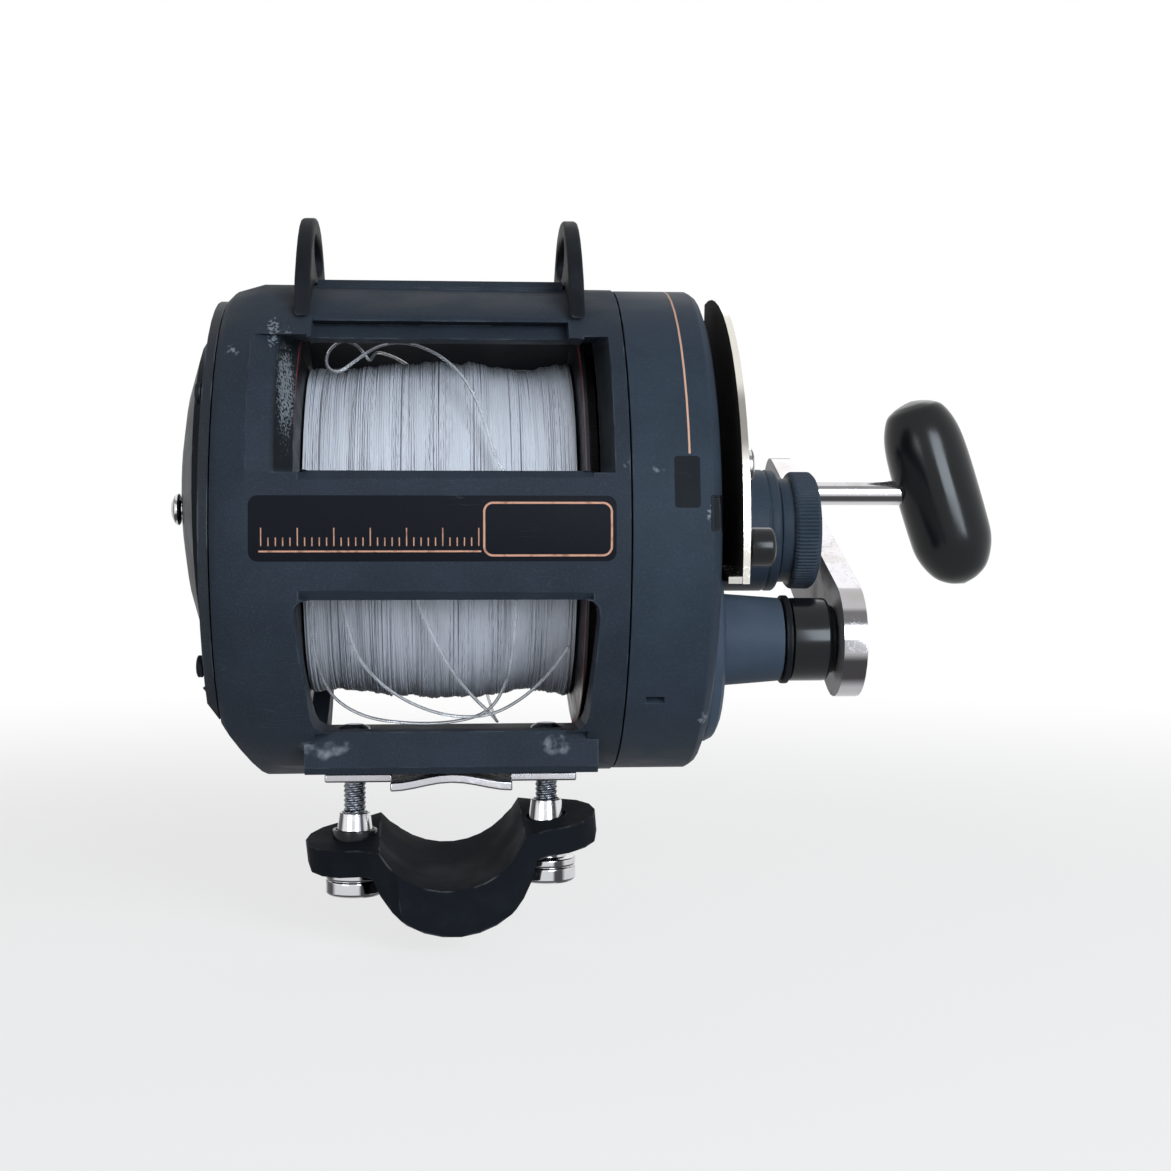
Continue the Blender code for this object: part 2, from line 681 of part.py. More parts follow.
def make_frame():
    """The moulded frame: a turned shell, cut to bars and rings, with its deck and foot bar joined on."""
    frame = turned(
        "frame",
        [
            (RIGHT_FACE, RIGHT_RING_RADIUS),
            (RIGHT_EDGE, RIGHT_RING_RADIUS),
            (LEFT_EDGE, RING_RADIUS),
            (RING_CREASE, RING_RADIUS),
            (LEFT_FACE + RING_CHAMFER, RING_RADIUS - RING_SHOULDER),
            (LEFT_FACE, RING_RADIUS - RING_SHOULDER - RING_CHAMFER),
            (LEFT_FACE, RING_BORE),
            (RIGHT_FACE, RING_BORE),
        ],
        GRAPHITE,
        SEGMENTS_LARGE,
    )
    outside = RING_RADIUS + OVERRUN
    upper = rounded(
        [
            (LEFT_EDGE, LABEL_TOP),
            (RIGHT_EDGE, LABEL_TOP),
            (RIGHT_EDGE, WINDOW_TOP),
            (LEFT_EDGE, WINDOW_TOP),
        ],
        CORNER_RADIUS,
    )
    lower = rounded(
        [
            (FOOT_LEFT_EDGE, LIP_TOP),
            (RIGHT_EDGE - CORNER_RADIUS / 2, LIP_TOP),
            (RIGHT_EDGE, LABEL_BOTTOM),
            (LEFT_EDGE, LABEL_BOTTOM),
        ],
        CORNER_RADIUS,
    )
    combine(frame, window_bevel("left_bevel", -1))
    combine(frame, window_bevel("right_bevel", 1))
    combine(frame, prism("upper_rear_window", [upper], -outside, -RING_BORE / 3, None, "XZ"))
    combine(frame, prism("lower_rear_window", [lower], -outside, -RING_BORE / 3, None, "XZ"))
    label = LABEL_CHAMFER
    for name, edge, side in (("label_top_edge", LABEL_TOP, 1), ("label_bottom_edge", LABEL_BOTTOM, -1)):
        rim = -math.sqrt(RING_RADIUS**2 - edge**2)
        wedge = [(rim - label, edge), (rim + label, edge), (rim - label, edge - 2 * side * label)]
        combine(frame, prism(name, [wedge], LEFT_EDGE + label, RIGHT_EDGE - label, None))
    combine(frame, prism("hood_groove", [hood_groove()], DECK_LEFT, DECK_RIGHT, None))
    front_low = (LEFT_EDGE, RING_BORE / 3, FRONT_BAR_TOP)
    front_high = (RIGHT_EDGE, outside, WINDOW_TOP - FRONT_DIP)
    combine(frame, block("front_window", front_low, front_high, None))
    belly_low = (FOOT_LEFT_EDGE, -outside, -outside)
    belly_high = (FOOT_RIGHT_EDGE, FOOT_BAR_FRONT, LIP_TOP)
    combine(frame, block("belly", belly_low, belly_high, None))
    front_low = (FOOT_LEFT_EDGE, FOOT_BAR_FRONT - OVERRUN, -outside)
    front_high = (RIGHT_EDGE, outside, FRONT_BAR_BOTTOM)
    combine(frame, block("lower_front_window", front_low, front_high, None))
    deck = [
        (-DECK_HALF_DEPTH, DECK_UNDERSIDE),
        (-DECK_HALF_DEPTH, DECK_TOP - RING_CHAMFER),
        (-DECK_HALF_DEPTH + RING_CHAMFER, DECK_TOP),
        (DECK_HALF_DEPTH - RING_CHAMFER, DECK_TOP),
        (DECK_HALF_DEPTH, DECK_TOP - RING_CHAMFER),
        (DECK_HALF_DEPTH, DECK_UNDERSIDE),
    ]
    combine(frame, prism("deck", [deck], DECK_LEFT, DECK_RIGHT, None), "UNION")
    bar = [
        (FOOT_BAR_REAR, LIP_TOP),
        (FOOT_BAR_REAR, FOOT_BAR_UNDERSIDE + RING_CHAMFER),
        (FOOT_BAR_REAR + RING_CHAMFER, FOOT_BAR_UNDERSIDE),
        (FOOT_BAR_FRONT, FOOT_BAR_UNDERSIDE),
        (FOOT_BAR_FRONT, FOOT_BAR_FLOOR),
        (FOOT_BAR_REAR + LIP_DEPTH + RING_CHAMFER, FOOT_BAR_FLOOR),
        (FOOT_BAR_REAR + LIP_DEPTH, LIP_TOP),
    ]
    bar_right = FOOT_RIGHT_EDGE + OVERRUN
    combine(frame, prism("foot_bar", [bar], FOOT_LEFT_EDGE - OVERRUN, bar_right, None), "UNION")
    for index, place in enumerate(STUD_PLACES):
        hole = [(FOOT_BAR_FLOOR + OVERRUN, 0), (FOOT_BAR_FLOOR + OVERRUN, STUD_RADIUS + GAP)]
        hole += [(FOOT_BAR_UNDERSIDE - OVERRUN, STUD_RADIUS + GAP), (FOOT_BAR_UNDERSIDE - OVERRUN, 0)]
        combine(frame, turned(f"stud_hole_{index}", hole, None, SEGMENTS_STUD, (place, 0), "Z"))
    combine(frame, slant_cutter("frame_slant"))
    for index, angle in enumerate(COVER_SCREW_ANGLES):
        combine(frame, screw_hole(f"frame_screw_hole_{index}", angle))
    return frame


def window_bevel(name, side):
    """The cutter that slants the upper window's side wall, from its edge at the bore out to the ring's surface."""
    outside = RING_RADIUS + OVERRUN
    inside = RING_BORE - OVERRUN
    if side < 0:
        surface = RING_RADIUS - BEVEL_DROP
        steep = LEFT_BEVEL / (surface - RING_BORE)
        shallow = (LEFT_EDGE - LEFT_BEVEL - RING_CREASE) / BEVEL_DROP
        clear = LEFT_EDGE + OVERRUN
        profile = [
            (clear, inside),
            (clear, outside),
            (RING_CREASE - OVERRUN * shallow, outside),
            (LEFT_EDGE - LEFT_BEVEL, surface),
            (LEFT_EDGE + OVERRUN * steep, inside),
        ]
    else:
        steep = RIGHT_BEVEL / (RIGHT_RING_RADIUS - RING_BORE)
        clear = RIGHT_EDGE - OVERRUN
        start = RIGHT_EDGE + GAP
        far = start + (outside - RING_BORE) * steep
        profile = [(start - OVERRUN * steep, inside), (far, outside), (clear, outside), (clear, inside)]
    bevel = turned(name, profile, None, SEGMENTS_BEVEL)
    low = (LEFT_FACE - OVERRUN, -outside - OVERRUN, LABEL_TOP - GAP)
    high = (RIGHT_FACE, 0, WINDOW_TOP + GAP)
    return combine(bevel, block(f"{name}_reach", low, high, None), "INTERSECT")


def hood_groove():
    """The outline of the groove over the upper window, between the strip on its edge and the deck's round."""
    outside = RING_RADIUS + OVERRUN
    strip = RING_RADIUS - STRIP_RECESS
    lip = RING_RADIUS - STRIP_LIP
    below = WINDOW_TOP - OVERRUN
    top = WINDOW_TOP + STRIP_HEIGHT
    crown = top + STRIP_ROUND
    return [
        (-outside, below),
        (-math.sqrt(strip**2 - below**2), below),
        (-math.sqrt(strip**2 - top**2), top),
        (-math.sqrt(lip**2 - top**2), top + GAP),
        (-math.sqrt(RING_RADIUS**2 - crown**2), crown),
        (-outside, crown),
    ]


def slant_at(along):
    """The height of the slanted facet's plane at a place along X."""
    return SLANT_TOP - (along - COVER_RIM_FACE) / math.tan(SLANT_ANGLE)


def slant_cutter(name):
    """The wedge that takes the lower left corner off the ring and its cover."""
    left = BOSS_FACE - OVERRUN
    outside = RING_RADIUS + OVERRUN
    right = COVER_RIM_FACE + (SLANT_TOP + 2 * outside) * math.tan(SLANT_ANGLE)
    wedge = [(left, slant_at(left)), (left, slant_at(right)), (right, slant_at(right))]
    return prism(name, [wedge], -outside, outside, None, "XZ")


def slant_wall():
    """The cover's wall behind the slanted facet, inside the ring's bore."""
    start = COVER_RIM_FACE - OVERRUN
    end = COVER_RIM_FACE + (SLANT_TOP + RING_RADIUS) * math.tan(SLANT_ANGLE)
    depth = COVER_WALL / math.cos(SLANT_ANGLE)
    slab = [
        (start, slant_at(start) - OVERRUN),
        (end, slant_at(end) - OVERRUN),
        (end + depth, slant_at(end)),
        (start + depth, slant_at(start)),
    ]
    wall = prism("slant_wall", [slab], -RING_RADIUS, RING_RADIUS, None, "XZ")
    radius = RING_BORE - GAP
    inner = [(end + OVERRUN + depth, 0), (end + OVERRUN + depth, radius), (start - OVERRUN, radius)]
    bore = turned("slant_wall_round", inner + [(start - OVERRUN, 0)], None, SEGMENTS_LARGE)
    return combine(wall, bore, "INTERSECT")


def screw_hole(name, angle):
    """The cutter of one cover screw's hole, through the cover's rim and into the frame's left ring."""
    radius = SCREW_SHANK + GAP
    left = COVER_RIM_FACE - OVERRUN
    right = COVER_RIM_FACE + SCREW_LENGTH + 2 * GAP
    profile = [(right, 0), (right, radius), (left, radius), (left, 0)]
    return turned(name, profile, None, SEGMENTS_SCREW, rear(angle, COVER_SCREW_CIRCLE))


def make_left_cover():
    """The left side cover: a dished disc with an off-centre boss, a shaft hub and the clicker's slot."""
    seat = LEFT_FACE - GAP
    inside = COVER_DOME + COVER_WALL
    cover = turned(
        "left_side_cover",
        [
            (inside, 0),
            (inside, COVER_FLAT + COVER_WALL),
            (seat, COVER_SHOULDER - COVER_WALL),
            (seat, COVER_RIM),
            (COVER_RIM_FACE, COVER_RIM),
            (COVER_RIM_FACE, COVER_SHOULDER),
            (COVER_DOME, COVER_FLAT),
            (COVER_DOME, 0),
        ],
        GRAPHITE_DARK,
        SEGMENTS_LARGE,
    )
    boss_place = (0, BOSS_CENTRE)
    root = COVER_DOME + COVER_WALL * 2 / 3
    boss = [
        (root, 0),
        (root, BOSS_RADIUS),
        (BOSS_EDGE, BOSS_RADIUS),
        (BOSS_SHOULDER, BOSS_SHOULDER_RADIUS),
        (BOSS_FACE, BOSS_FLAT),
        (BOSS_FACE, 0),
    ]
    combine(cover, turned("boss", boss, None, SEGMENTS_SPOOL, boss_place), "UNION")
    pocket_left = BOSS_FACE + BOSS_WALL
    pocket = [(inside + OVERRUN, 0), (inside + OVERRUN, POCKET_RADIUS), (pocket_left, POCKET_RADIUS)]
    combine(cover, turned("pocket", pocket + [(pocket_left, 0)], None, SEGMENTS_MEDIUM, boss_place))
    combine(cover, slant_wall(), "UNION")
    left = BOSS_FACE + BOSS_WALL / 2
    hub = [(HUB_END, 0), (HUB_END, HUB_RADIUS), (left, HUB_RADIUS), (left, 0)]
    combine(cover, turned("hub", hub, None, SEGMENTS_SMALL), "UNION")
    bore_end = COVER_DOME - GAP
    bore = [(HUB_END + OVERRUN, 0), (HUB_END + OVERRUN, SHAFT_BORE), (bore_end, SHAFT_BORE), (bore_end, 0)]
    combine(cover, turned("hub_bore", bore, None, SEGMENTS_SMALL))
    outward = math.atan2(CLICK_PLACE[1], CLICK_PLACE[0])
    start = Vector(CLICK_PLACE)
    end = start - Vector((math.cos(outward), math.sin(outward))) * CLICK_TRAVEL
    radius = CLICK_SHANK + GAP
    quarter = math.pi / 2
    slot = arc(radius, outward - quarter, outward + quarter, 6, tuple(start))
    slot += arc(radius, outward + quarter, outward + 3 * quarter, 6, tuple(end))
    combine(cover, prism("click_slot", [slot], BOSS_FACE - OVERRUN, BOSS_FACE + BOSS_WALL + OVERRUN, None))
    combine(cover, slant_cutter("cover_slant"))
    for index, angle in enumerate(COVER_SCREW_ANGLES):
        combine(cover, screw_hole(f"cover_screw_hole_{index}", angle))
    return cover


def screw_profile(seat, side):
    """Profile of a screw whose head sits a gap off a seat, on the side (1 or -1) along the axis."""
    under = seat + side * GAP
    top = under + side * SCREW_HEAD_HEIGHT
    end = seat - side * SCREW_LENGTH
    points = [
        (top, 0),
        (top, SCREW_HEAD),
        (under, SCREW_HEAD),
        (under, SCREW_SHANK),
        (end, SCREW_SHANK),
        (end, 0),
    ]
    return points if side > 0 else points[::-1]


def make_screws(name, seat, side, circle_radius, angles):
    """Several like screws round a circle."""
    for index, angle in enumerate(angles):
        place = rear(angle, circle_radius)
        turned(f"{name}_{index + 1}", screw_profile(seat, side), STEEL, SEGMENTS_SCREW, place)


def make_clicker():
    """The click button with its tongue and hairpin spring, and the click gear on the spool."""
    outward = math.atan2(CLICK_PLACE[1], CLICK_PLACE[0])
    gear_right = -FLANGE_OUTSIDE - GAP
    gear_left = gear_right - CLICK_GEAR_THICKNESS
    under = BOSS_FACE - GAP
    top = under - CLICK_HEAD_HEIGHT
    shank_end = gear_right - GAP
    button = [
        (shank_end, 0),
        (shank_end, CLICK_SHANK),
        (under, CLICK_SHANK),
        (under, CLICK_HEAD),
        (under - CLICK_HEAD_HEIGHT / 2, CLICK_HEAD),
        (top, CLICK_HEAD / 2),
        (top, 0),
    ]
    turned("click_button", button, CHROME, SEGMENTS_SMALL, CLICK_PLACE)
    across = Vector((-math.sin(outward), math.cos(outward)))
    inward = -Vector((math.cos(outward), math.sin(outward)))
    centre = Vector(CLICK_PLACE)
    reach = centre.length - TONGUE_REST
    back = TONGUE_HALF
    outline = [
        across * TONGUE_HALF - inward * back,
        across * -TONGUE_HALF - inward * back,
        inward * TONGUE_SHOULDER - across * TONGUE_HALF,
        inward * TONGUE_NECK - across * TONGUE_NECK_HALF,
        inward * reach - across * TONGUE_TIP,
        inward * reach + across * TONGUE_TIP,
        inward * TONGUE_NECK + across * TONGUE_NECK_HALF,
        inward * TONGUE_SHOULDER + across * TONGUE_HALF,
    ]
    eye = circle(CLICK_SHANK + GAP, SEGMENTS_SCREW)
    solid = [tuple(point) for point in outline]
    prism("click_tongue", [solid, eye], gear_left, gear_right, STEEL, "YZ", CLICK_PLACE)
    spring_x = gear_left - GAP - SPRING_WIRE
    bend = CLICK_SHANK + 2 * GAP + SPRING_WIRE
    quarter = math.pi / 2
    leg = -inward * SPRING_LEG
    loop = arc(bend, outward + quarter, outward + 3 * quarter, 6)
    bow = [Vector(loop[0]) + leg, *[Vector(point) for point in loop], Vector(loop[-1]) + leg]
    points = [(spring_x, point[0] + CLICK_PLACE[0], point[1] + CLICK_PLACE[1]) for point in bow]
    tube("click_spring", points, SPRING_WIRE, STEEL, 1)
    phase = outward + math.pi / CLICK_TEETH
    teeth = []
    for tooth in range(CLICK_TEETH):
        middle = phase + 2 * math.pi * tooth / CLICK_TEETH
        step = math.pi / CLICK_TEETH / 3
        for radius, angle in ((CLICK_GEAR_ROOT, -2 * step), (CLICK_GEAR_TIP, -step / 2)):
            teeth.append((radius * math.cos(middle + angle), radius * math.sin(middle + angle)))
        for radius, angle in ((CLICK_GEAR_TIP, step / 2), (CLICK_GEAR_ROOT, 2 * step)):
            teeth.append((radius * math.cos(middle + angle), radius * math.sin(middle + angle)))
    bore = circle(SHAFT_BORE + GAP, 16)
    prism("click_gear", [teeth, bore], gear_left, gear_right, BRASS)


def make_spool():
    """The spool with its bearings, drag disc and line."""
    half = SPOOL_HALF_WIDTH
    outer = FLANGE_OUTSIDE
    seat = BEARING_OUTER + GAP
    web_outside = outer - BEARING_WIDTH - GAP
    web_inside = web_outside - WEB_THICKNESS
    throat = (SHAFT_RADIUS + BEARING_OUTER) / 2
    hollow = ARBOR_RADIUS - ARBOR_WALL
    outside = [
        (outer, seat),
        (outer, FLANGE_RADIUS),
        (outer - FLANGE_RIM, FLANGE_RADIUS),
        (half, FLANGE_RADIUS - FLANGE_FLARE),
        (half, ARBOR_RADIUS),
    ]
    inside = [(web_outside, seat), (web_outside, throat), (web_inside, throat), (web_inside, hollow)]
    outside += [(-along, radius) for along, radius in reversed(outside)]
    inside = [(-along, radius) for along, radius in inside] + inside[::-1]
    turned("spool", outside + inside, ALLOY, SEGMENTS_SPOOL)
    for name, side in (("spool_bearing_left", -1), ("spool_bearing_right", 1)):
        low, high = sorted((side * outer, side * (outer - BEARING_WIDTH)))
        ring(name, low, high, SHAFT_BORE, BEARING_OUTER, STEEL, SEGMENTS_SMALL)
    ring("drag_disc", DISC_LEFT, DISC_LEFT + DISC_THICKNESS, DISC_INNER, DISC_OUTER, FIBRE, SEGMENTS_MEDIUM)
    facet = math.cos(math.pi / LINE_LOOP_POINTS)
    core = LINE_LOOP_RADIUS * facet - LINE_TUBE - GAP
    ring("line_core", -LINE_HALF_WIDTH, LINE_HALF_WIDTH, ARBOR_RADIUS + GAP, core, LINE, SEGMENTS_MEDIUM)
    reach = LINE_HALF_WIDTH - LINE_TUBE - GAP
    count = LINE_TURNS * LINE_LOOP_POINTS
    turns = []
    for index in range(count + 1):
        angle = 2 * math.pi * index / LINE_LOOP_POINTS
        along = -reach + 2 * reach * index / count
        turns.append((along, LINE_LOOP_RADIUS * math.cos(angle), LINE_LOOP_RADIUS * math.sin(angle)))
    tube("line_winding", turns, LINE_TUBE, LINE, 1)
    print("line_winding least gap to itself, mm:", round(least_gap(turns) / MM, 3))


def least_gap(points):
    """The least distance between the tube's surfaces at points over half a loop apart."""
    least = math.inf
    for index, here in enumerate(points):
        for other in points[index + LINE_LOOP_POINTS // 2 : index + 2 * LINE_LOOP_POINTS]:
            least = min(least, math.dist(here, other))
    return least - 2 * LINE_TUBE


def ring(name, low, high, inner, outer, finish, segments, place=(0, 0)):
    """A plain ring along X."""
    profile = [(high, inner), (high, outer), (low, outer), (low, inner)]
    return turned(name, profile, finish, segments, place)


def make_loose_line():
    """The loose loops that stand off the wound line, as one length of line."""
    route = [(along, *rear(angle, radius)) for along, angle, radius in LOOSE_ROUTE]
    points = smooth(route, LOOSE_POINTS)
    length = sum(math.dist(a, b) for a, b in zip(points, points[1:]))
    print("loose_line length, mm:", round(length / MM, 1))
    tube("loose_line", points, LOOSE_RADIUS, LINE, 2)


def smooth(route, count):
    """Points on the Catmull-Rom curve through a route, as many to each of its stretches."""
    ends = [route[0], *route, route[-1]]
    points = []
    for index in range(count):
        place = index * (len(route) - 1) / (count - 1)
        first = min(int(place), len(route) - 2)
        t = place - first
        near = zip(*ends[first : first + 4])
        points.append(
            tuple(
                (2 * b + (c - a) * t + (2 * a - 5 * b + 4 * c - d) * t**2 + (3 * b - a - 3 * c + d) * t**3) / 2
                for a, b, c, d in near
            )
        )
    return points


def make_shaft():
    """The spool shaft with its collar, the spring washers and the preset knob on its end."""
    collar = HUB_END + 2 * GAP + SHIFT_TRAVEL
    collar_right = collar + SHAFT_COLLAR_WIDTH
    left = COVER_DOME + GAP
    neck = CAP_END - GAP
    end = PRESET_LEFT + (PRESET_RIGHT - PRESET_LEFT) / 2
    tip = SHAFT_RADIUS - GAP
    profile = [
        (end, 0),
        (end, tip),
        (neck, tip),
        (neck, SHAFT_RADIUS),
        (collar_right, SHAFT_RADIUS),
        (collar_right, SHAFT_COLLAR),
        (collar, SHAFT_COLLAR),
        (collar, SHAFT_RADIUS),
        (left, SHAFT_RADIUS),
        (left, 0),
    ]
    turned("spool_shaft", profile, STEEL, SEGMENTS_SMALL)
    right = -FLANGE_OUTSIDE - CLICK_GEAR_THICKNESS - 2 * GAP
    washer = [
        (right, SHAFT_BORE),
        (right, SHAFT_RADIUS * 2),
        (right - 2 * GAP, SHAFT_RADIUS * 2),
        (collar_right + GAP, SHAFT_BORE + GAP),
        (collar_right + GAP, SHAFT_BORE),
    ]
    turned("drag_spring", washer, STEEL, SEGMENTS_SMALL)
    bore = SHAFT_RADIUS
    neck_left = CAP_END + SHIFT_TRAVEL / 2
    knob = [
        (PRESET_RIGHT, 0),
        (PRESET_RIGHT, PRESET_RADIUS - FLANGE_CHAMFER),
        (PRESET_RIGHT - FLANGE_CHAMFER, PRESET_RADIUS),
        (PRESET_LEFT, PRESET_RADIUS),
        (PRESET_LEFT, PRESET_NECK),
        (neck_left, PRESET_NECK),
        (neck_left, bore),
        (end + GAP, bore),
        (end + GAP, 0),
    ]
    turned("preset_knob", knob, GRAPHITE_DARK, SEGMENTS_MEDIUM)


def make_drive():
    """The pressure plate, pinion, bridge plate, bearings, main gear, ratchet and pawl."""
    plate_right = PLATE_LEFT + PLATE_THICKNESS
    ring("pressure_plate", PLATE_LEFT, plate_right, SHAFT_BORE, DISC_OUTER, STEEL, SEGMENTS_MEDIUM)
    towards = math.pi + HANDLE_BEARING
    pinion_phase = HANDLE_BEARING + math.pi / PINION_TEETH
    bore = circle(SHAFT_BORE, SEGMENTS_SMALL)
    pinion = gear_outline(PINION_TEETH, pinion_phase)
    prism("pinion_gear", [pinion, bore], PINION_LEFT, MAIN_GEAR_RIGHT, STEEL)
    tip = GEAR_MODULE * (PINION_TEETH / 2 + ADDENDUM_SHARE)
    seat = PINION_BEARING_OUTER + GAP
    shoulder = BRIDGE_RIGHT - GAP
    boss_end = BRIDGE_RIGHT + PINION_BEARING_WIDTH + GAP
    bridge = turned(
        "bridge_plate",
        [
            (boss_end, seat),
            (boss_end, BEARING_BOSS),
            (BRIDGE_RIGHT, BEARING_BOSS),
            (BRIDGE_RIGHT, BRIDGE_RADIUS),
            (BRIDGE_LEFT, BRIDGE_RADIUS),
            (BRIDGE_LEFT, tip + GAP),
            (shoulder, tip + GAP),
            (shoulder, seat),
        ],
        ALLOY,
        SEGMENTS_SPOOL,
    )
    hole = BUSH_RADIUS + GAP
    over = OVERRUN
    cutter = [(BRIDGE_RIGHT + over, 0), (BRIDGE_RIGHT + over, hole), (BRIDGE_LEFT - over, hole)]
    cutter += [(BRIDGE_LEFT - over, 0)]
    combine(bridge, turned("bridge_bush_hole", cutter, None, SEGMENTS_SMALL, HANDLE_PLACE))
    bearing_left = BRIDGE_RIGHT
    bearing_right = bearing_left + PINION_BEARING_WIDTH
    ring("pinion_bearing", bearing_left, bearing_right, tip + GAP, PINION_BEARING_OUTER, STEEL, SEGMENTS_SMALL)
    inner = GEAR_SHAFT_RADIUS + GAP
    ring("inner_bush", BRIDGE_LEFT, BRIDGE_RIGHT, inner, BUSH_RADIUS, BRASS, SEGMENTS_SMALL, HANDLE_PLACE)
    main = gear_outline(MAIN_TEETH, towards)
    eye = circle(GEAR_SHAFT_RADIUS + GAP, SEGMENTS_SMALL)
    prism("main_gear", [main, eye], MAIN_GEAR_LEFT, MAIN_GEAR_RIGHT, BRASS, "YZ", HANDLE_PLACE)
    rest = RATCHET_TIP + GAP + PAWL_TIP
    bite = RATCHET_TIP - PAWL_BITE
    seat_angle = PAWL_BEARING + corner_angle(PAWL_ARM, PAWL_DISTANCE, bite)
    phase = seat_angle - PAWL_SEAT_SHARE * 2 * math.pi / RATCHET_TEETH
    wheel = saw_outline(RATCHET_TEETH, RATCHET_TIP, RATCHET_ROOT, phase)
    prism("ratchet_wheel", [wheel, eye], RATCHET_LEFT, RATCHET_RIGHT, STEEL, "YZ", HANDLE_PLACE)
    pivot = (
        HANDLE_PLACE[0] + PAWL_DISTANCE * math.cos(PAWL_BEARING),
        HANDLE_PLACE[1] + PAWL_DISTANCE * math.sin(PAWL_BEARING),
    )
    lifted = corner_angle(rest, PAWL_DISTANCE, PAWL_ARM)
    seated = corner_angle(bite, PAWL_DISTANCE, PAWL_ARM)
    print("pawl swing from rest to its bite, degrees:", round((lifted - seated) / DEG, 3))
    print("pawl pivot (y, z) from the spool axis, mm:", [round(value / MM, 4) for value in pivot])
    heading = PAWL_BEARING + math.pi - lifted
    point = Vector((math.cos(heading), math.sin(heading))) * PAWL_ARM
    side = Vector((-math.sin(heading), math.cos(heading)))
    quarter = math.pi / 2
    outline = arc(PAWL_EYE, heading + quarter, heading + 3 * quarter, 7)
    outline += [tuple(point - side * PAWL_TIP), tuple(point + side * PAWL_TIP)]
    pin_hole = circle(PAWL_PIN + GAP, 12)
    prism("anti_reverse_pawl", [outline, pin_hole], RATCHET_LEFT, RATCHET_RIGHT, STEEL, "YZ", pivot)
    pin_left = BRIDGE_RIGHT + GAP
    pin_right = MAIN_GEAR_LEFT - GAP
    pin = [(pin_right, 0), (pin_right, PAWL_PIN), (RATCHET_LEFT - GAP, PAWL_PIN)]
    pin += [(RATCHET_LEFT - GAP, PAWL_EYE), (pin_left, PAWL_EYE), (pin_left, 0)]
    turned("pawl_pin", pin, STEEL, SEGMENTS_SCREW, pivot)


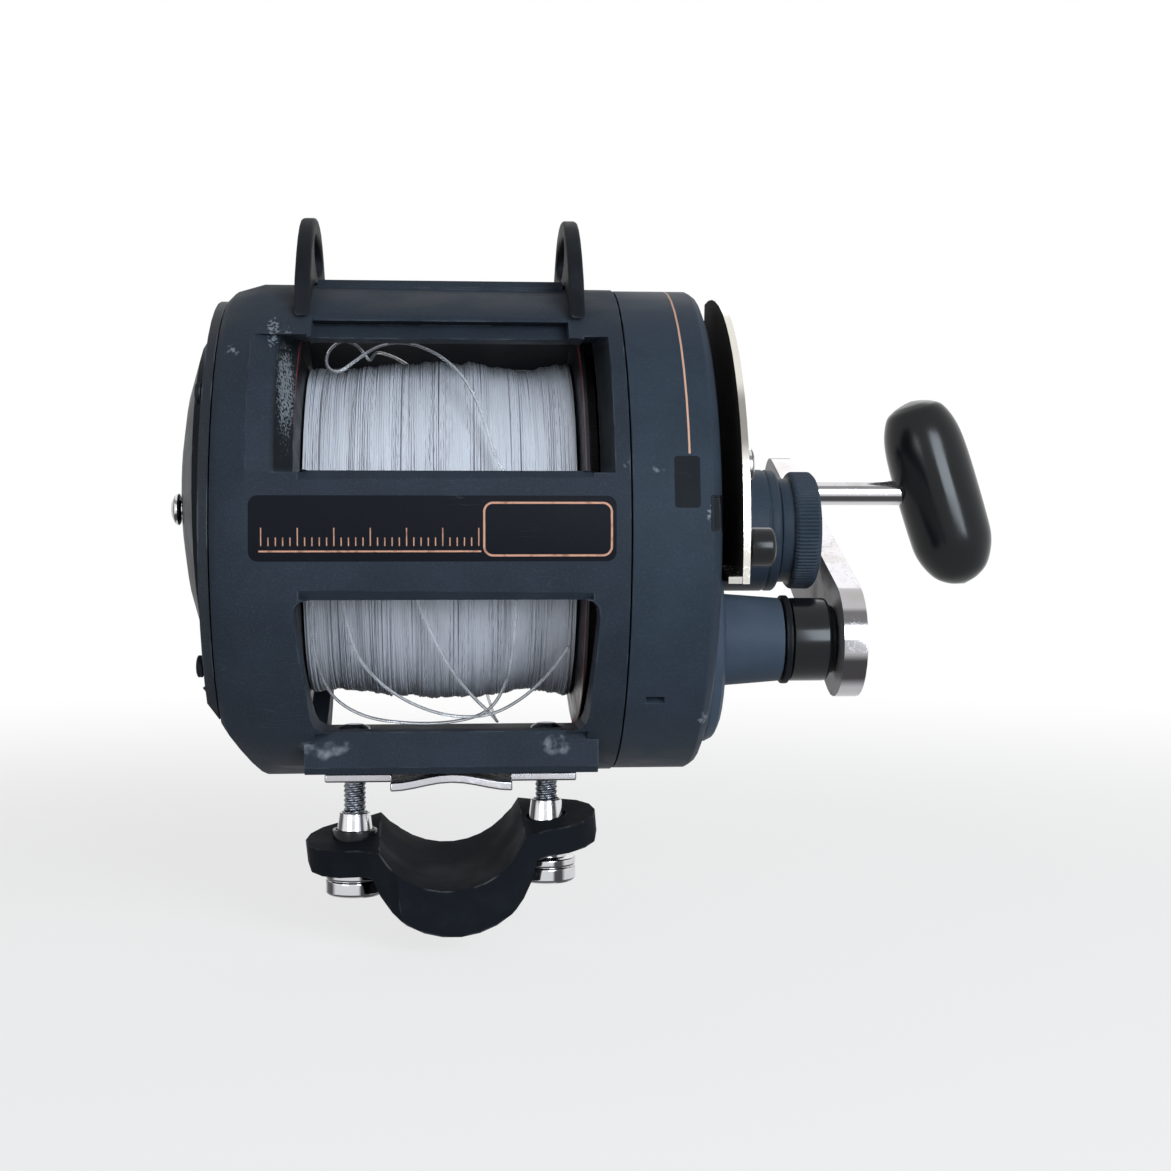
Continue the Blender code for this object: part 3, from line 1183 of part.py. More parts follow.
def make_housing():
    """The right side housing, the gear cover with its handle boss, and their screws."""
    wall = HOUSING_FACE - HOUSING_WALL
    housing = turned(
        "side_housing",
        [
            (HOUSING_FACE, CAM_HOLE),
            (HOUSING_FACE, HOUSING_RADIUS - HOUSING_ROUND - BURIED),
            (HOUSING_FACE - HOUSING_ROUND / 3, HOUSING_RADIUS - HOUSING_ROUND / 2),
            (HOUSING_FACE - HOUSING_ROUND, HOUSING_RADIUS),
            (BRIDGE_LEFT, HOUSING_RADIUS),
            (BRIDGE_LEFT, BRIDGE_RADIUS + GAP),
            (wall, BRIDGE_RADIUS + GAP),
            (wall, CAM_HOLE),
        ],
        GRAPHITE,
        SEGMENTS_LARGE,
    )
    shaft_hole = BUSH_RADIUS + GAP
    cutter = [(HOUSING_FACE + OVERRUN, 0), (HOUSING_FACE + OVERRUN, shaft_hole)]
    cutter += [(wall - OVERRUN, shaft_hole), (wall - OVERRUN, 0)]
    combine(housing, turned("housing_shaft_hole", cutter, None, SEGMENTS_SMALL, HANDLE_PLACE))
    rim = -HOUSING_RADIUS
    notch_left = HOUSING_FACE - HOUSING_ROUND
    notch_low = (notch_left, rim - OVERRUN, 0)
    notch_high = (HOUSING_FACE + OVERRUN, rim + NOTCH_DEPTH, NOTCH_HEIGHT)
    combine(housing, block("rim_notch", notch_low, notch_high, None))
    low = (-SLOT_LENGTH / 2, -2 * HOUSING_WALL, -SLOT_HEIGHT / 2)
    slot = block("drain_slot", low, (SLOT_LENGTH / 2, 0, SLOT_HEIGHT / 2), None)
    y, z = rear(SLOT_ANGLE - math.pi, HOUSING_RADIUS)
    slot.location = (SLOT_X, y, -z)
    slot.rotation_euler = (SLOT_ANGLE - math.pi, 0, 0)
    combine(housing, slot)
    seat = HOUSING_FACE + GAP
    disc = [
        (COVER_DISC_FACE, 0),
        (COVER_DISC_FACE, COVER_DISC - COVER_DISC_ROUND),
        (COVER_DISC_FACE - COVER_DISC_ROUND / 3, COVER_DISC - COVER_DISC_ROUND / 3),
        (COVER_DISC_FACE - COVER_DISC_ROUND, COVER_DISC),
        (seat, COVER_DISC),
        (seat, 0),
    ]
    cover = turned("gear_cover", disc, GRAPHITE, SEGMENTS_SPOOL, HANDLE_PLACE)
    boss = [
        (HANDLE_BOSS_END, 0),
        (HANDLE_BOSS_END, HANDLE_BOSS_TIP),
        (COVER_DISC_FACE - BURIED, HANDLE_BOSS_ROOT),
        (COVER_DISC_FACE - BURIED, 0),
    ]
    combine(cover, turned("handle_boss", boss, None, SEGMENTS_MEDIUM, HANDLE_PLACE), "UNION")
    bush_left = HANDLE_BOSS_END - BUSH_LENGTH
    bore = GEAR_SHAFT_RADIUS + GAP
    bush_hole = BUSH_RADIUS + GAP
    hollow = [
        (HANDLE_BOSS_END + OVERRUN, 0),
        (HANDLE_BOSS_END + OVERRUN, bush_hole),
        (bush_left - GAP, bush_hole),
        (bush_left - GAP, bore),
        (seat - OVERRUN, bore),
        (seat - OVERRUN, 0),
    ]
    combine(cover, turned("boss_bore", hollow, None, SEGMENTS_SMALL, HANDLE_PLACE))
    cam = CAM_RADIUS + GAP
    room = [(COVER_DISC_FACE + OVERRUN, 0), (COVER_DISC_FACE + OVERRUN, cam), (seat - OVERRUN, cam)]
    combine(cover, turned("cam_room", room + [(seat - OVERRUN, 0)], None, SEGMENTS_MEDIUM))
    ring("outer_bush", bush_left, HANDLE_BOSS_END, bore, BUSH_RADIUS, BRASS, SEGMENTS_SMALL, HANDLE_PLACE)
    make_screws("housing_screw", HOUSING_FACE, 1, HOUSING_SCREW_CIRCLE, HOUSING_SCREW_ANGLES)
    for index, angle in enumerate(HOUSING_SCREW_ANGLES):
        radius = SCREW_SHANK + GAP
        left = HOUSING_FACE - SCREW_LENGTH - GAP
        profile = [(HOUSING_FACE + OVERRUN, 0), (HOUSING_FACE + OVERRUN, radius), (left, radius), (left, 0)]
        place = rear(angle, HOUSING_SCREW_CIRCLE)
        combine(housing, turned(f"housing_screw_hole_{index}", profile, None, SEGMENTS_SCREW, place))


def make_lever():
    """The drag lever with its cam, cap, knob and rivet."""
    inner = LEVER_INNER_FACE
    outer = inner + LEVER_THICKNESS
    rim = [rear(angle, LEVER_RADIUS) for angle in sweep(LEVER_LOW, LEVER_HIGH, 18)]
    hub_end = 2 * math.pi + LEVER_LOW - LEVER_CLEAR
    hub = [rear(angle, LEVER_HUB) for angle in sweep(LEVER_HIGH + math.pi / 3, hub_end, 9)]
    bore = SHAFT_RADIUS + GAP
    plate = prism("drag_lever", [rim + hub, circle(bore, SEGMENTS_SMALL)], inner, outer, CHROME)
    fold_inner = LEVER_RADIUS - LEVER_FOLD_LENGTH
    fold = block(
        "lever_fold",
        (inner - LEVER_FOLD, -LEVER_RADIUS + GAP, 0),
        (outer - GAP, -fold_inner, LEVER_THICKNESS),
        None,
    )
    pivot = BENCH.empty("lever_fold_turn", (0, 0, 0), BENCH.axis)
    pivot.rotation_euler = (-LEVER_LOW, 0, 0)
    fold.parent = pivot
    combine(plate, fold, "UNION")
    cam_right = inner - GAP
    ring("drag_cam", CAM_LEFT, cam_right, bore, CAM_RADIUS, STEEL, SEGMENTS_SMALL)
    cap = [
        (CAP_END, bore),
        (CAP_END, CAP_RADIUS - FLANGE_CHAMFER),
        (CAP_END - FLANGE_CHAMFER, CAP_RADIUS),
        (outer + GAP, CAP_RADIUS),
        (outer + GAP, bore),
    ]
    turned("drag_cap", cap, GRAPHITE_DARK, SEGMENTS_MEDIUM)
    foot = outer + GAP
    knob = [
        (foot + KNOB_LENGTH, 0),
        (foot + KNOB_LENGTH, KNOB_RADIUS * 2 / 3),
        (foot + KNOB_LENGTH - KNOB_RADIUS / 4, KNOB_RADIUS),
        (foot, KNOB_RADIUS),
        (foot, 0),
    ]
    turned("lever_knob", knob, GLOSS_BLACK, SEGMENTS_SMALL, KNOB_PLACE)
    rivet = [
        (foot + RIVET_HEIGHT, 0),
        (foot + RIVET_HEIGHT, RIVET_RADIUS / 2),
        (foot + RIVET_HEIGHT / 2, RIVET_RADIUS),
        (foot, RIVET_RADIUS),
        (foot, 0),
    ]
    turned("lever_rivet", rivet, CHROME, SEGMENTS_SMALL, RIVET_PLACE)


def sweep(start, end, count):
    """Even angles from start to end."""
    return [start + (end - start) * index / (count - 1) for index in range(count)]


def make_handle():
    """The gear shaft, washer, collar, arm, nut, grip shaft and grip."""
    place = HANDLE_PLACE
    nut_seat = ARM_RIGHT + GAP
    shaft = [
        (nut_seat + NUT_HEIGHT / 2, 0),
        (nut_seat + NUT_HEIGHT / 2, TANG_RADIUS),
        (COLLAR_END, TANG_RADIUS),
        (COLLAR_END, GEAR_SHAFT_RADIUS),
        (BRIDGE_LEFT, GEAR_SHAFT_RADIUS),
        (BRIDGE_LEFT, 0),
    ]
    turned("gear_shaft", shaft, STEEL, SEGMENTS_SMALL, place)
    bore = GEAR_SHAFT_RADIUS + GAP
    washer_left = HANDLE_BOSS_END + GAP
    washer_right = washer_left + WASHER_WIDTH
    ring("handle_washer", washer_left, washer_right, bore, WASHER_RADIUS, SATIN_BLACK, SEGMENTS_MEDIUM, place)
    collar = [
        (ARM_LEFT - GAP, bore),
        (ARM_LEFT - GAP, COLLAR_NECK),
        (COLLAR_END, COLLAR_NECK),
        (COLLAR_END, COLLAR_RADIUS - FLANGE_CHAMFER),
        (COLLAR_END - FLANGE_CHAMFER, COLLAR_RADIUS),
        (washer_right + GAP, COLLAR_RADIUS),
        (washer_right + GAP, bore),
    ]
    turned("handle_collar", collar, GLOSS_BLACK, SEGMENTS_MEDIUM, place)
    quarter = math.pi / 2
    tip_centre = (HANDLE_LENGTH * math.cos(HANDLE_SLOPE), HANDLE_LENGTH * math.sin(HANDLE_SLOPE))
    outline = arc(ARM_HUB, HANDLE_SLOPE + quarter, HANDLE_SLOPE + 3 * quarter, 15)
    outline += arc(ARM_TIP, HANDLE_SLOPE - quarter, HANDLE_SLOPE + quarter, 12, tip_centre)
    eye = circle(TANG_RADIUS + GAP, SEGMENTS_SMALL)
    far_eye = circle(GRIP_SHAFT_RADIUS + GAP, SEGMENTS_SMALL, tip_centre)
    arm = prism("handle_arm", [outline, eye, far_eye], ARM_LEFT, ARM_RIGHT, CHROME, "YZ", place)
    soften(arm, ARM_BEVEL, 60.0 * DEG)
    nut = [
        (nut_seat + NUT_HEIGHT, TANG_RADIUS + GAP),
        (nut_seat + NUT_HEIGHT, NUT_RADIUS * 2 / 3 + TANG_RADIUS / 3),
        (nut_seat + NUT_HEIGHT / 2, NUT_RADIUS),
        (nut_seat, NUT_RADIUS),
        (nut_seat, TANG_RADIUS + GAP),
    ]
    turned("handle_nut", nut, CHROME, SEGMENTS_SMALL, place)
    shaft_end = GRIP_CENTRE + GRIP_RADIUS / 2
    head = ARM_LEFT - GAP
    grip_shaft = [
        (shaft_end, 0),
        (shaft_end, GRIP_SHAFT_RADIUS),
        (nut_seat + NUT_HEIGHT, GRIP_SHAFT_RADIUS),
        (nut_seat + NUT_HEIGHT, GRIP_HEAD_RADIUS),
        (nut_seat, GRIP_HEAD_RADIUS),
        (nut_seat, GRIP_SHAFT_RADIUS),
        (head, GRIP_SHAFT_RADIUS),
        (head, 0),
    ]
    turned("grip_shaft", grip_shaft, CHROME, SEGMENTS_SMALL, GRIP_PLACE)
    make_grip()


def make_grip():
    """The torpedo grip: an egg of revolution on a tilted long axis, with the shaft's blind bore."""
    half = GRIP_LENGTH / 2
    profile = [(half * along, GRIP_RADIUS * across) for along, across in GRIP_PROFILE_SHARES]
    grip = turned("handle_grip", profile, GLOSS_BLACK, SEGMENTS_MEDIUM)
    grip.location = (GRIP_CENTRE, GRIP_PLACE[0], GRIP_PLACE[1])
    grip.rotation_euler = Euler((0, -GRIP_TILT, 0))
    radius = GRIP_SHAFT_RADIUS + GAP
    end = GRIP_CENTRE + GRIP_RADIUS / 2 + GAP
    left = GRIP_CENTRE - 2 * GRIP_RADIUS
    bore = [(end, 0), (end, radius), (left, radius), (left, 0)]
    combine(grip, turned("grip_bore", bore, None, SEGMENTS_SMALL, GRIP_PLACE))


def make_lugs():
    """The two harness lugs: arched plates with an oval eye that sit on the frame's rings."""
    seat = RING_RADIUS + GAP
    top = DECK_TOP + LUG_HEIGHT
    start = math.asin(LUG_HALF_LENGTH / seat)
    arch = []
    for index in range(LUG_ARCH_POINTS + 1):
        share = -1 + 2 * index / LUG_ARCH_POINTS
        base = seat * math.cos(start)
        rise = (top - base) * (1 - abs(share) ** LUG_FULLNESS_SHARE) ** LUG_SHOULDER_SHARE
        arch.append((share * LUG_HALF_LENGTH, base + rise))
    below = [(-seat * math.sin(angle), seat * math.cos(angle)) for angle in sweep(-start, start, 12)][1:-1]
    count = 20
    eye = []
    for index in range(count):
        angle = 2 * math.pi * index / count
        eye.append((LUG_EYE_HALF * math.cos(angle), LUG_EYE_CENTRE + LUG_EYE_HEIGHT * math.sin(angle)))
    for name, left in (("harness_lug_left", LUG_LEFT), ("harness_lug_right", LUG_RIGHT)):
        prism(name, [arch + below, eye], left, left + LUG_THICKNESS, SATIN_BLACK)


def foot_curve(half, rise):
    """Middle line of the foot's arch: a cosine hump over its half width."""
    points = []
    for index in range(FOOT_ARCH_POINTS + 1):
        share = -1 + 2 * index / FOOT_ARCH_POINTS
        points.append((share * half, rise * (1 + math.cos(math.pi * share)) / 2))
    return points


def make_foot():
    """The stamped foot, its spacers, the studs, the sleeve nuts and the rod clamp."""
    bottom = -AXIS_HEIGHT
    hump = foot_curve(FOOT_ARCH_HALF, FOOT_ARCH_RISE)
    under = [(FOOT_X + x, bottom + z) for x, z in hump]
    over = [(FOOT_X + x, bottom + FOOT_THICKNESS + z) for x, z in reversed(hump)]
    left = FOOT_X - FOOT_HALF_WIDTH
    right = FOOT_X + FOOT_HALF_WIDTH
    wings = [(left, bottom), *under, (right, bottom)]
    wings += [(right, bottom + FOOT_THICKNESS), *over, (left, bottom + FOOT_THICKNESS)]
    foot = prism("reel_foot", [wings], -FOOT_WING_DEPTH / 2, FOOT_WING_DEPTH / 2, CHROME, "XZ")
    tongue = prism("foot_tongue", [under + over], -FOOT_TONGUE_DEPTH / 2, FOOT_TONGUE_DEPTH / 2, None, "XZ")
    combine(foot, tongue, "UNION")
    spacer_top = FOOT_BAR_UNDERSIDE - GAP
    spacer_bottom = bottom + FOOT_THICKNESS + GAP
    for side, place in zip(SIDES, STUD_PLACES):
        hole = [(spacer_top + OVERRUN, 0), (spacer_top + OVERRUN, STUD_RADIUS + GAP)]
        hole += [(bottom - OVERRUN, STUD_RADIUS + GAP), (bottom - OVERRUN, 0)]
        cutter = turned(f"foot_hole_{side}", hole, None, SEGMENTS_STUD, (place, 0), "Z")
        combine(foot, cutter)
        low = (place - SPACER_WIDTH / 2, -SPACER_DEPTH / 2, spacer_bottom)
        high = (place + SPACER_WIDTH / 2, SPACER_DEPTH / 2, spacer_top)
        combine(block(f"foot_spacer_{side}", low, high, SATIN_BLACK), cutter)
    make_studs()
    make_clamp()


def make_studs():
    """The clamp studs and the sleeve nuts that turn on them."""
    floor = FOOT_BAR_FLOOR + GAP
    stud = [
        (floor + STUD_HEAD_HEIGHT, 0),
        (floor + STUD_HEAD_HEIGHT, STUD_HEAD / 2),
        (floor + STUD_HEAD_HEIGHT / 3, STUD_HEAD),
        (floor, STUD_HEAD),
        (floor, STUD_RADIUS),
        (STUD_END, STUD_RADIUS),
        (STUD_END, 0),
    ]
    bore = STUD_RADIUS + GAP
    for side, place, drop in zip(SIDES, STUD_PLACES, (NUT_DROP, 0)):
        turned(f"clamp_stud_{side}", stud, ZINC, SEGMENTS_STUD, (place, 0), "Z")
        top = NUT_TOP - drop
        waist = top - NUT_CONE
        flange = top - NUT_SLEEVE_LENGTH
        bottom = flange - NUT_FLANGE_HEIGHT
        nut = [
            (top, bore),
            (top, NUT_CONE_TIP),
            (waist, NUT_SLEEVE),
            (flange, NUT_SLEEVE),
            (flange, NUT_FLANGE),
            (bottom + FLANGE_CHAMFER, NUT_FLANGE),
            (bottom, NUT_FLANGE - FLANGE_CHAMFER),
            (bottom, bore),
        ]
        turned(f"clamp_nut_{side}", nut, CHROME, SEGMENTS_SMALL, (place, 0), "Z")


def make_clamp():
    """The rod clamp: a saddle with two ears, drawn in its own frame and tilted on its nuts."""
    radius = CLAMP_SADDLE_RADIUS
    centre = radius - CLAMP_SADDLE_DEPTH
    reach = math.acos(centre / radius)
    middle = -math.pi / 2
    inner = arc(radius, middle + reach, middle - reach, 13, (0, centre))
    body = CLAMP_BODY_RADIUS
    body_centre = body - CLAMP_SADDLE_DEPTH - CLAMP_WALL
    body_reach = math.acos((body_centre + CLAMP_EAR_THICKNESS) / body)
    outer = arc(body, middle - body_reach, middle + body_reach, 13, (0, body_centre))
    half = CLAMP_HALF_WIDTH
    ear_edge = -CLAMP_EAR_THICKNESS
    outline = [(half, 0), *inner, (-half, 0), (-half, ear_edge + CLAMP_BEVEL), (-half + CLAMP_BEVEL, ear_edge)]
    outline += [*outer, (half - CLAMP_BEVEL, ear_edge), (half, ear_edge + CLAMP_BEVEL)]
    clamp = prism("rod_clamp", [outline], -CLAMP_DEPTH / 2, CLAMP_DEPTH / 2, SATIN_BLACK, "XZ")
    ear = CLAMP_EAR_DEPTH / 2
    waist = half - ear
    right_end = arc(ear, -math.pi / 2, math.pi / 2, 9, (waist, 0))
    left_end = arc(ear, math.pi / 2, 3 * math.pi / 2, 9, (-waist, 0))
    depth = CLAMP_DEPTH / 2
    shoulder = waist * CLAMP_SHOULDER_SHARE
    plan = [(-shoulder, -depth), (shoulder, -depth), *right_end, (shoulder, depth), (-shoulder, depth), *left_end]
    low = -CLAMP_EAR_THICKNESS - CLAMP_SADDLE_DEPTH - 2 * CLAMP_WALL
    shape = prism("clamp_plan", [plan], low, OVERRUN, None, "XY")
    combine(clamp, shape, "INTERSECT")
    place = BENCH.empty("clamp_place", (FOOT_X, 0, CLAMP_LEVEL), BENCH.axis)
    place.rotation_euler = (CLAMP_PITCH, -CLAMP_ROLL, 0)
    clamp.parent = place
    shape.parent = place
    hole = NUT_SLEEVE + GAP
    spot = NUT_FLANGE + GAP
    above = CLAMP_LEVEL + CLAMP_HALF_WIDTH
    below = CLAMP_LEVEL - 2 * CLAMP_HALF_WIDTH
    for side, stud, drop in zip(SIDES, STUD_PLACES, (NUT_DROP, 0)):
        seat = NUT_TOP - drop - NUT_SLEEVE_LENGTH + GAP
        profile = [(above, 0), (above, hole), (seat, hole), (seat, spot), (below, spot), (below, 0)]
        combine(clamp, turned(f"clamp_hole_{side}", profile, None, SEGMENTS_SMALL, (stud, 0), "Z"))


def main():
    """Build every sub-part."""
    global BENCH
    BENCH = Bench()
    make_frame()
    make_left_cover()
    make_screws("cover_screw", COVER_RIM_FACE, -1, COVER_SCREW_CIRCLE, COVER_SCREW_ANGLES)
    make_clicker()
    make_spool()
    make_loose_line()
    make_shaft()
    make_drive()
    make_housing()
    make_lever()
    make_handle()
    make_lugs()
    make_foot()


main()
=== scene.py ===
"""Lever drag reel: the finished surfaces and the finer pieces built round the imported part.

Everything is in metres with +Z up. X is the spool axis with the crank at +X, and Y is the rod's direction
with the rod tip at +Y, so the camera stands behind the reel, where the angler does. The origin is the rod
seat.
"""

from __future__ import annotations

import json
import logging
import math
from dataclasses import dataclass, field
from enum import Enum
from functools import cache, reduce
from typing import Callable, ClassVar, Sequence

import bmesh
import bpy
import numpy as np
from bpy.types import Light, Material, NodeSocket, NodeTree, Object, ShaderNodeTree
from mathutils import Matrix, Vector

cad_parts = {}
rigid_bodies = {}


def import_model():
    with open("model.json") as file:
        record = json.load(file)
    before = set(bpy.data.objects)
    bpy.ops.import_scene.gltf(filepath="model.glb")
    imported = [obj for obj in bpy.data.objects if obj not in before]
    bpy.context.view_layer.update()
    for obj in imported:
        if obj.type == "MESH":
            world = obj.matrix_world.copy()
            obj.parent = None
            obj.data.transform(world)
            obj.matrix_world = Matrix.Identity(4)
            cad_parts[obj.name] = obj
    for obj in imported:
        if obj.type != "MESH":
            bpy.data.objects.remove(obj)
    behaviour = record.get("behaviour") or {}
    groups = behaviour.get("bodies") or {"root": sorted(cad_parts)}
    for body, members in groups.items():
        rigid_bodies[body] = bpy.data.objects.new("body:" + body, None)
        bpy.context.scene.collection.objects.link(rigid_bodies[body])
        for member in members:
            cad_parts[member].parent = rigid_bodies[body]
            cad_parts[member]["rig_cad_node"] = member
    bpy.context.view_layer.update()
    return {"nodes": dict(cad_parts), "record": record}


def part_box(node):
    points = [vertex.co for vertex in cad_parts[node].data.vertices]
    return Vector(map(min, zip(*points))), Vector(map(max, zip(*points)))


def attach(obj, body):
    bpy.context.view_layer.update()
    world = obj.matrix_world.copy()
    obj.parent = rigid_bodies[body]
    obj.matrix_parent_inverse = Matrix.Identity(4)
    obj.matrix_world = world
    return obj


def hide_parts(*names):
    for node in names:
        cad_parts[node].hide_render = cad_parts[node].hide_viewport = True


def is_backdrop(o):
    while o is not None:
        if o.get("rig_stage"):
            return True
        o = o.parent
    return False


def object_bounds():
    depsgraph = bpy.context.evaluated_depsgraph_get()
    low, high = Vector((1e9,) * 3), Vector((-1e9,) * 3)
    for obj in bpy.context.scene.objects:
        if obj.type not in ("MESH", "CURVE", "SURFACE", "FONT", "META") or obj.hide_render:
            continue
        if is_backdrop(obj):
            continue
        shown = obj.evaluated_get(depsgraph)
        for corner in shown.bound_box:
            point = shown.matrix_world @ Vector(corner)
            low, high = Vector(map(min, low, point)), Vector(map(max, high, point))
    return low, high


MM = 0.001
MERGED = 1e-3 * MM
MERGED_PACKED = 5e-3 * MM
AXIS_HEIGHT = 47.0 * MM
WHITE = (1.0, 1.0, 1.0)
LOG = logging.getLogger("lever_drag_reel")

Triple = tuple[float, float, float]
Colour = Triple
Section = list[tuple[float, float]]
Relief = Callable[[np.ndarray, np.ndarray, np.ndarray], np.ndarray]


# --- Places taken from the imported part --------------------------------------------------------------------


@dataclass(frozen=True)
class Span:
    """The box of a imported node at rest.

    Args:
        low: lowest corner.
        high: highest corner.
    """

    low: np.ndarray
    high: np.ndarray

    @classmethod
    def of(cls, node: str) -> Span:
        """The box of one node."""
        low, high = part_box(node)
        return cls(np.array(low), np.array(high))

    @property
    def centre(self) -> np.ndarray:
        """Middle of the box."""
        return (self.low + self.high) / 2

    @property
    def size(self) -> np.ndarray:
        """Edges of the box."""
        return self.high - self.low

    @property
    def ends(self) -> tuple[float, float]:
        """Its left and right ends along X."""
        return self.low[0], self.high[0]

    @property
    def radius(self) -> float:
        """Radius of a piece turned about X that fills the box."""
        return self.size[2] / 2


class Axis(Enum):
    """The direction that a turned piece is turned about."""

    X = 0
    Z = 2


# --- Mesh makers ------------------------------------------------------------------------------------------


def linked(name: str, data: bpy.types.ID) -> Object:
    """A new object in the scene that shows this data."""
    item = bpy.data.objects.new(name, data)
    bpy.context.scene.collection.objects.link(item)
    return item


def smoothed(mesh: bpy.types.Mesh) -> None:
    """Shades every face smooth."""
    mesh.polygons.foreach_set("use_smooth", np.ones(len(mesh.polygons), bool))


def surface(
    name: str, points: np.ndarray, wrap_rows: bool, wrap_columns: bool, sharp: float = 40.0
) -> Object:
    """A mesh over a grid of points, with its poles merged and its faces pointing outwards.

    Args:
        name: the piece's name.
        points: rows by columns by 3.
        wrap_rows: joins the last row to the first.
        wrap_columns: joins the last column to the first.
        sharp: the angle in degrees past which an edge stays crisp.

    Returns:
        The new object, with its place in its mesh.
    """
    rows, columns = points.shape[:2]
    index = np.arange(rows * columns).reshape(rows, columns)
    if wrap_rows:
        index = np.vstack([index, index[:1]])
    if wrap_columns:
        index = np.hstack([index, index[:, :1]])
    corners = [index[:-1, :-1], index[1:, :-1], index[1:, 1:], index[:-1, 1:]]
    faces = np.stack(corners, axis=-1).reshape(-1, 4)
    mesh = bpy.data.meshes.new(name)
    mesh.from_pydata(points.reshape(-1, 3).tolist(), [], faces.tolist())
    work = bmesh.new()
    work.from_mesh(mesh)
    bmesh.ops.remove_doubles(work, verts=work.verts, dist=MERGED)
    bmesh.ops.recalc_face_normals(work, faces=work.faces)
    work.to_mesh(mesh)
    work.free()
    smoothed(mesh)
    mesh.set_sharp_from_angle(angle=math.radians(sharp))
    return linked(name, mesh)


def filleted(corners: Section, radius: float, closed: bool, steps: int = 5) -> np.ndarray:
    """A profile with each corner rounded: a parabola from a point before the corner to one after it.

    Args:
        corners: the profile's corners as (along, radius).
        radius: how far from a corner the round starts, at most 0.45 of the edge.
        closed: whether the last corner joins the first.
        steps: points in each round.

    Returns:
        The rounded profile, one row a point.
    """
    points = np.asarray(corners, float)
    reach = np.full(len(points), radius)
    if not closed:
        reach[[0, -1]] = 0.0

    def toward(target: np.ndarray) -> np.ndarray:
        step = target - points
        length = np.maximum(np.linalg.norm(step, axis=1), 1e-9)
        return points + step / length[:, None] * np.minimum(reach, 0.45 * length)[:, None]

    start = toward(np.roll(points, 1, axis=0))[:, None]
    end = toward(np.roll(points, -1, axis=0))[:, None]
    t = np.linspace(0, 1, steps)[None, :, None]
    curve = (1 - t) ** 2 * start + 2 * t * (1 - t) * points[:, None] + t**2 * end
    return curve.reshape(-1, 2)


def turned_grid(profile: np.ndarray, steps: int) -> tuple[np.ndarray, np.ndarray, np.ndarray]:
    """The places along, the radii and the angles of a profile's points at each step round the axis.

    Args:
        profile: rows of (along, radius).
        steps: points round the circle.

    Returns:
        The places along, the radii and the angles.
    """
    angle = np.linspace(0, 2 * math.pi, steps, endpoint=False)[None, :]
    return np.repeat(profile[:, :1], steps, axis=1), np.repeat(profile[:, 1:], steps, axis=1), angle


def turned(
    name: str,
    profile: np.ndarray,
    centre: Sequence[float],
    axis: Axis = Axis.X,
    closed: bool = False,
    steps: int = 96,
    relief: Relief | None = None,
) -> Object:
    """A profile carried round an axis: along stays, and radius turns through the whole circle.

    Args:
        name: the piece's name.
        profile: rows of (along, radius), in metres, along in world coordinates.
        centre: a point on the axis.
        axis: the direction of the axis.
        closed: whether the profile is a ring's section, which does not touch the axis.
        steps: points round the circle.
        relief: a function of along, radius and angle that gives what is added to the radius.

    Returns:
        The new object.
    """
    along, radius, angle = turned_grid(profile, steps)
    if relief is not None:
        radius = radius + relief(along, radius, angle)
    first = radius * np.cos(angle)
    second = radius * np.sin(angle)
    if axis is Axis.X:
        points = np.stack([along, centre[1] + first, centre[2] + second], axis=-1)
    else:
        points = np.stack([centre[0] + first, centre[1] + second, along], axis=-1)
    return surface(name, points, closed, True)


def smooth_route(points: np.ndarray, steps: int) -> np.ndarray:
    """Points on the Catmull-Rom curve through a route, a few in each stretch between two of its points.

    Args:
        points: the route, one row a point.
        steps: points in each stretch.

    Returns:
        The curve, one row a point.
    """
    ends = np.vstack([points[:1], points, points[-1:]])
    a, b, c, d = (ends[k : len(ends) - 3 + k, None] for k in range(4))
    t = np.linspace(0, 1, steps, endpoint=False)[None, :, None]
    curve = (2 * b + (c - a) * t + (2 * a - 5 * b + 4 * c - d) * t**2 + (3 * b - a - 3 * c + d) * t**3) / 2
    return np.vstack([curve.reshape(-1, points.shape[1]), points[-1:]])


# --- Node trees -------------------------------------------------------------------------------------------


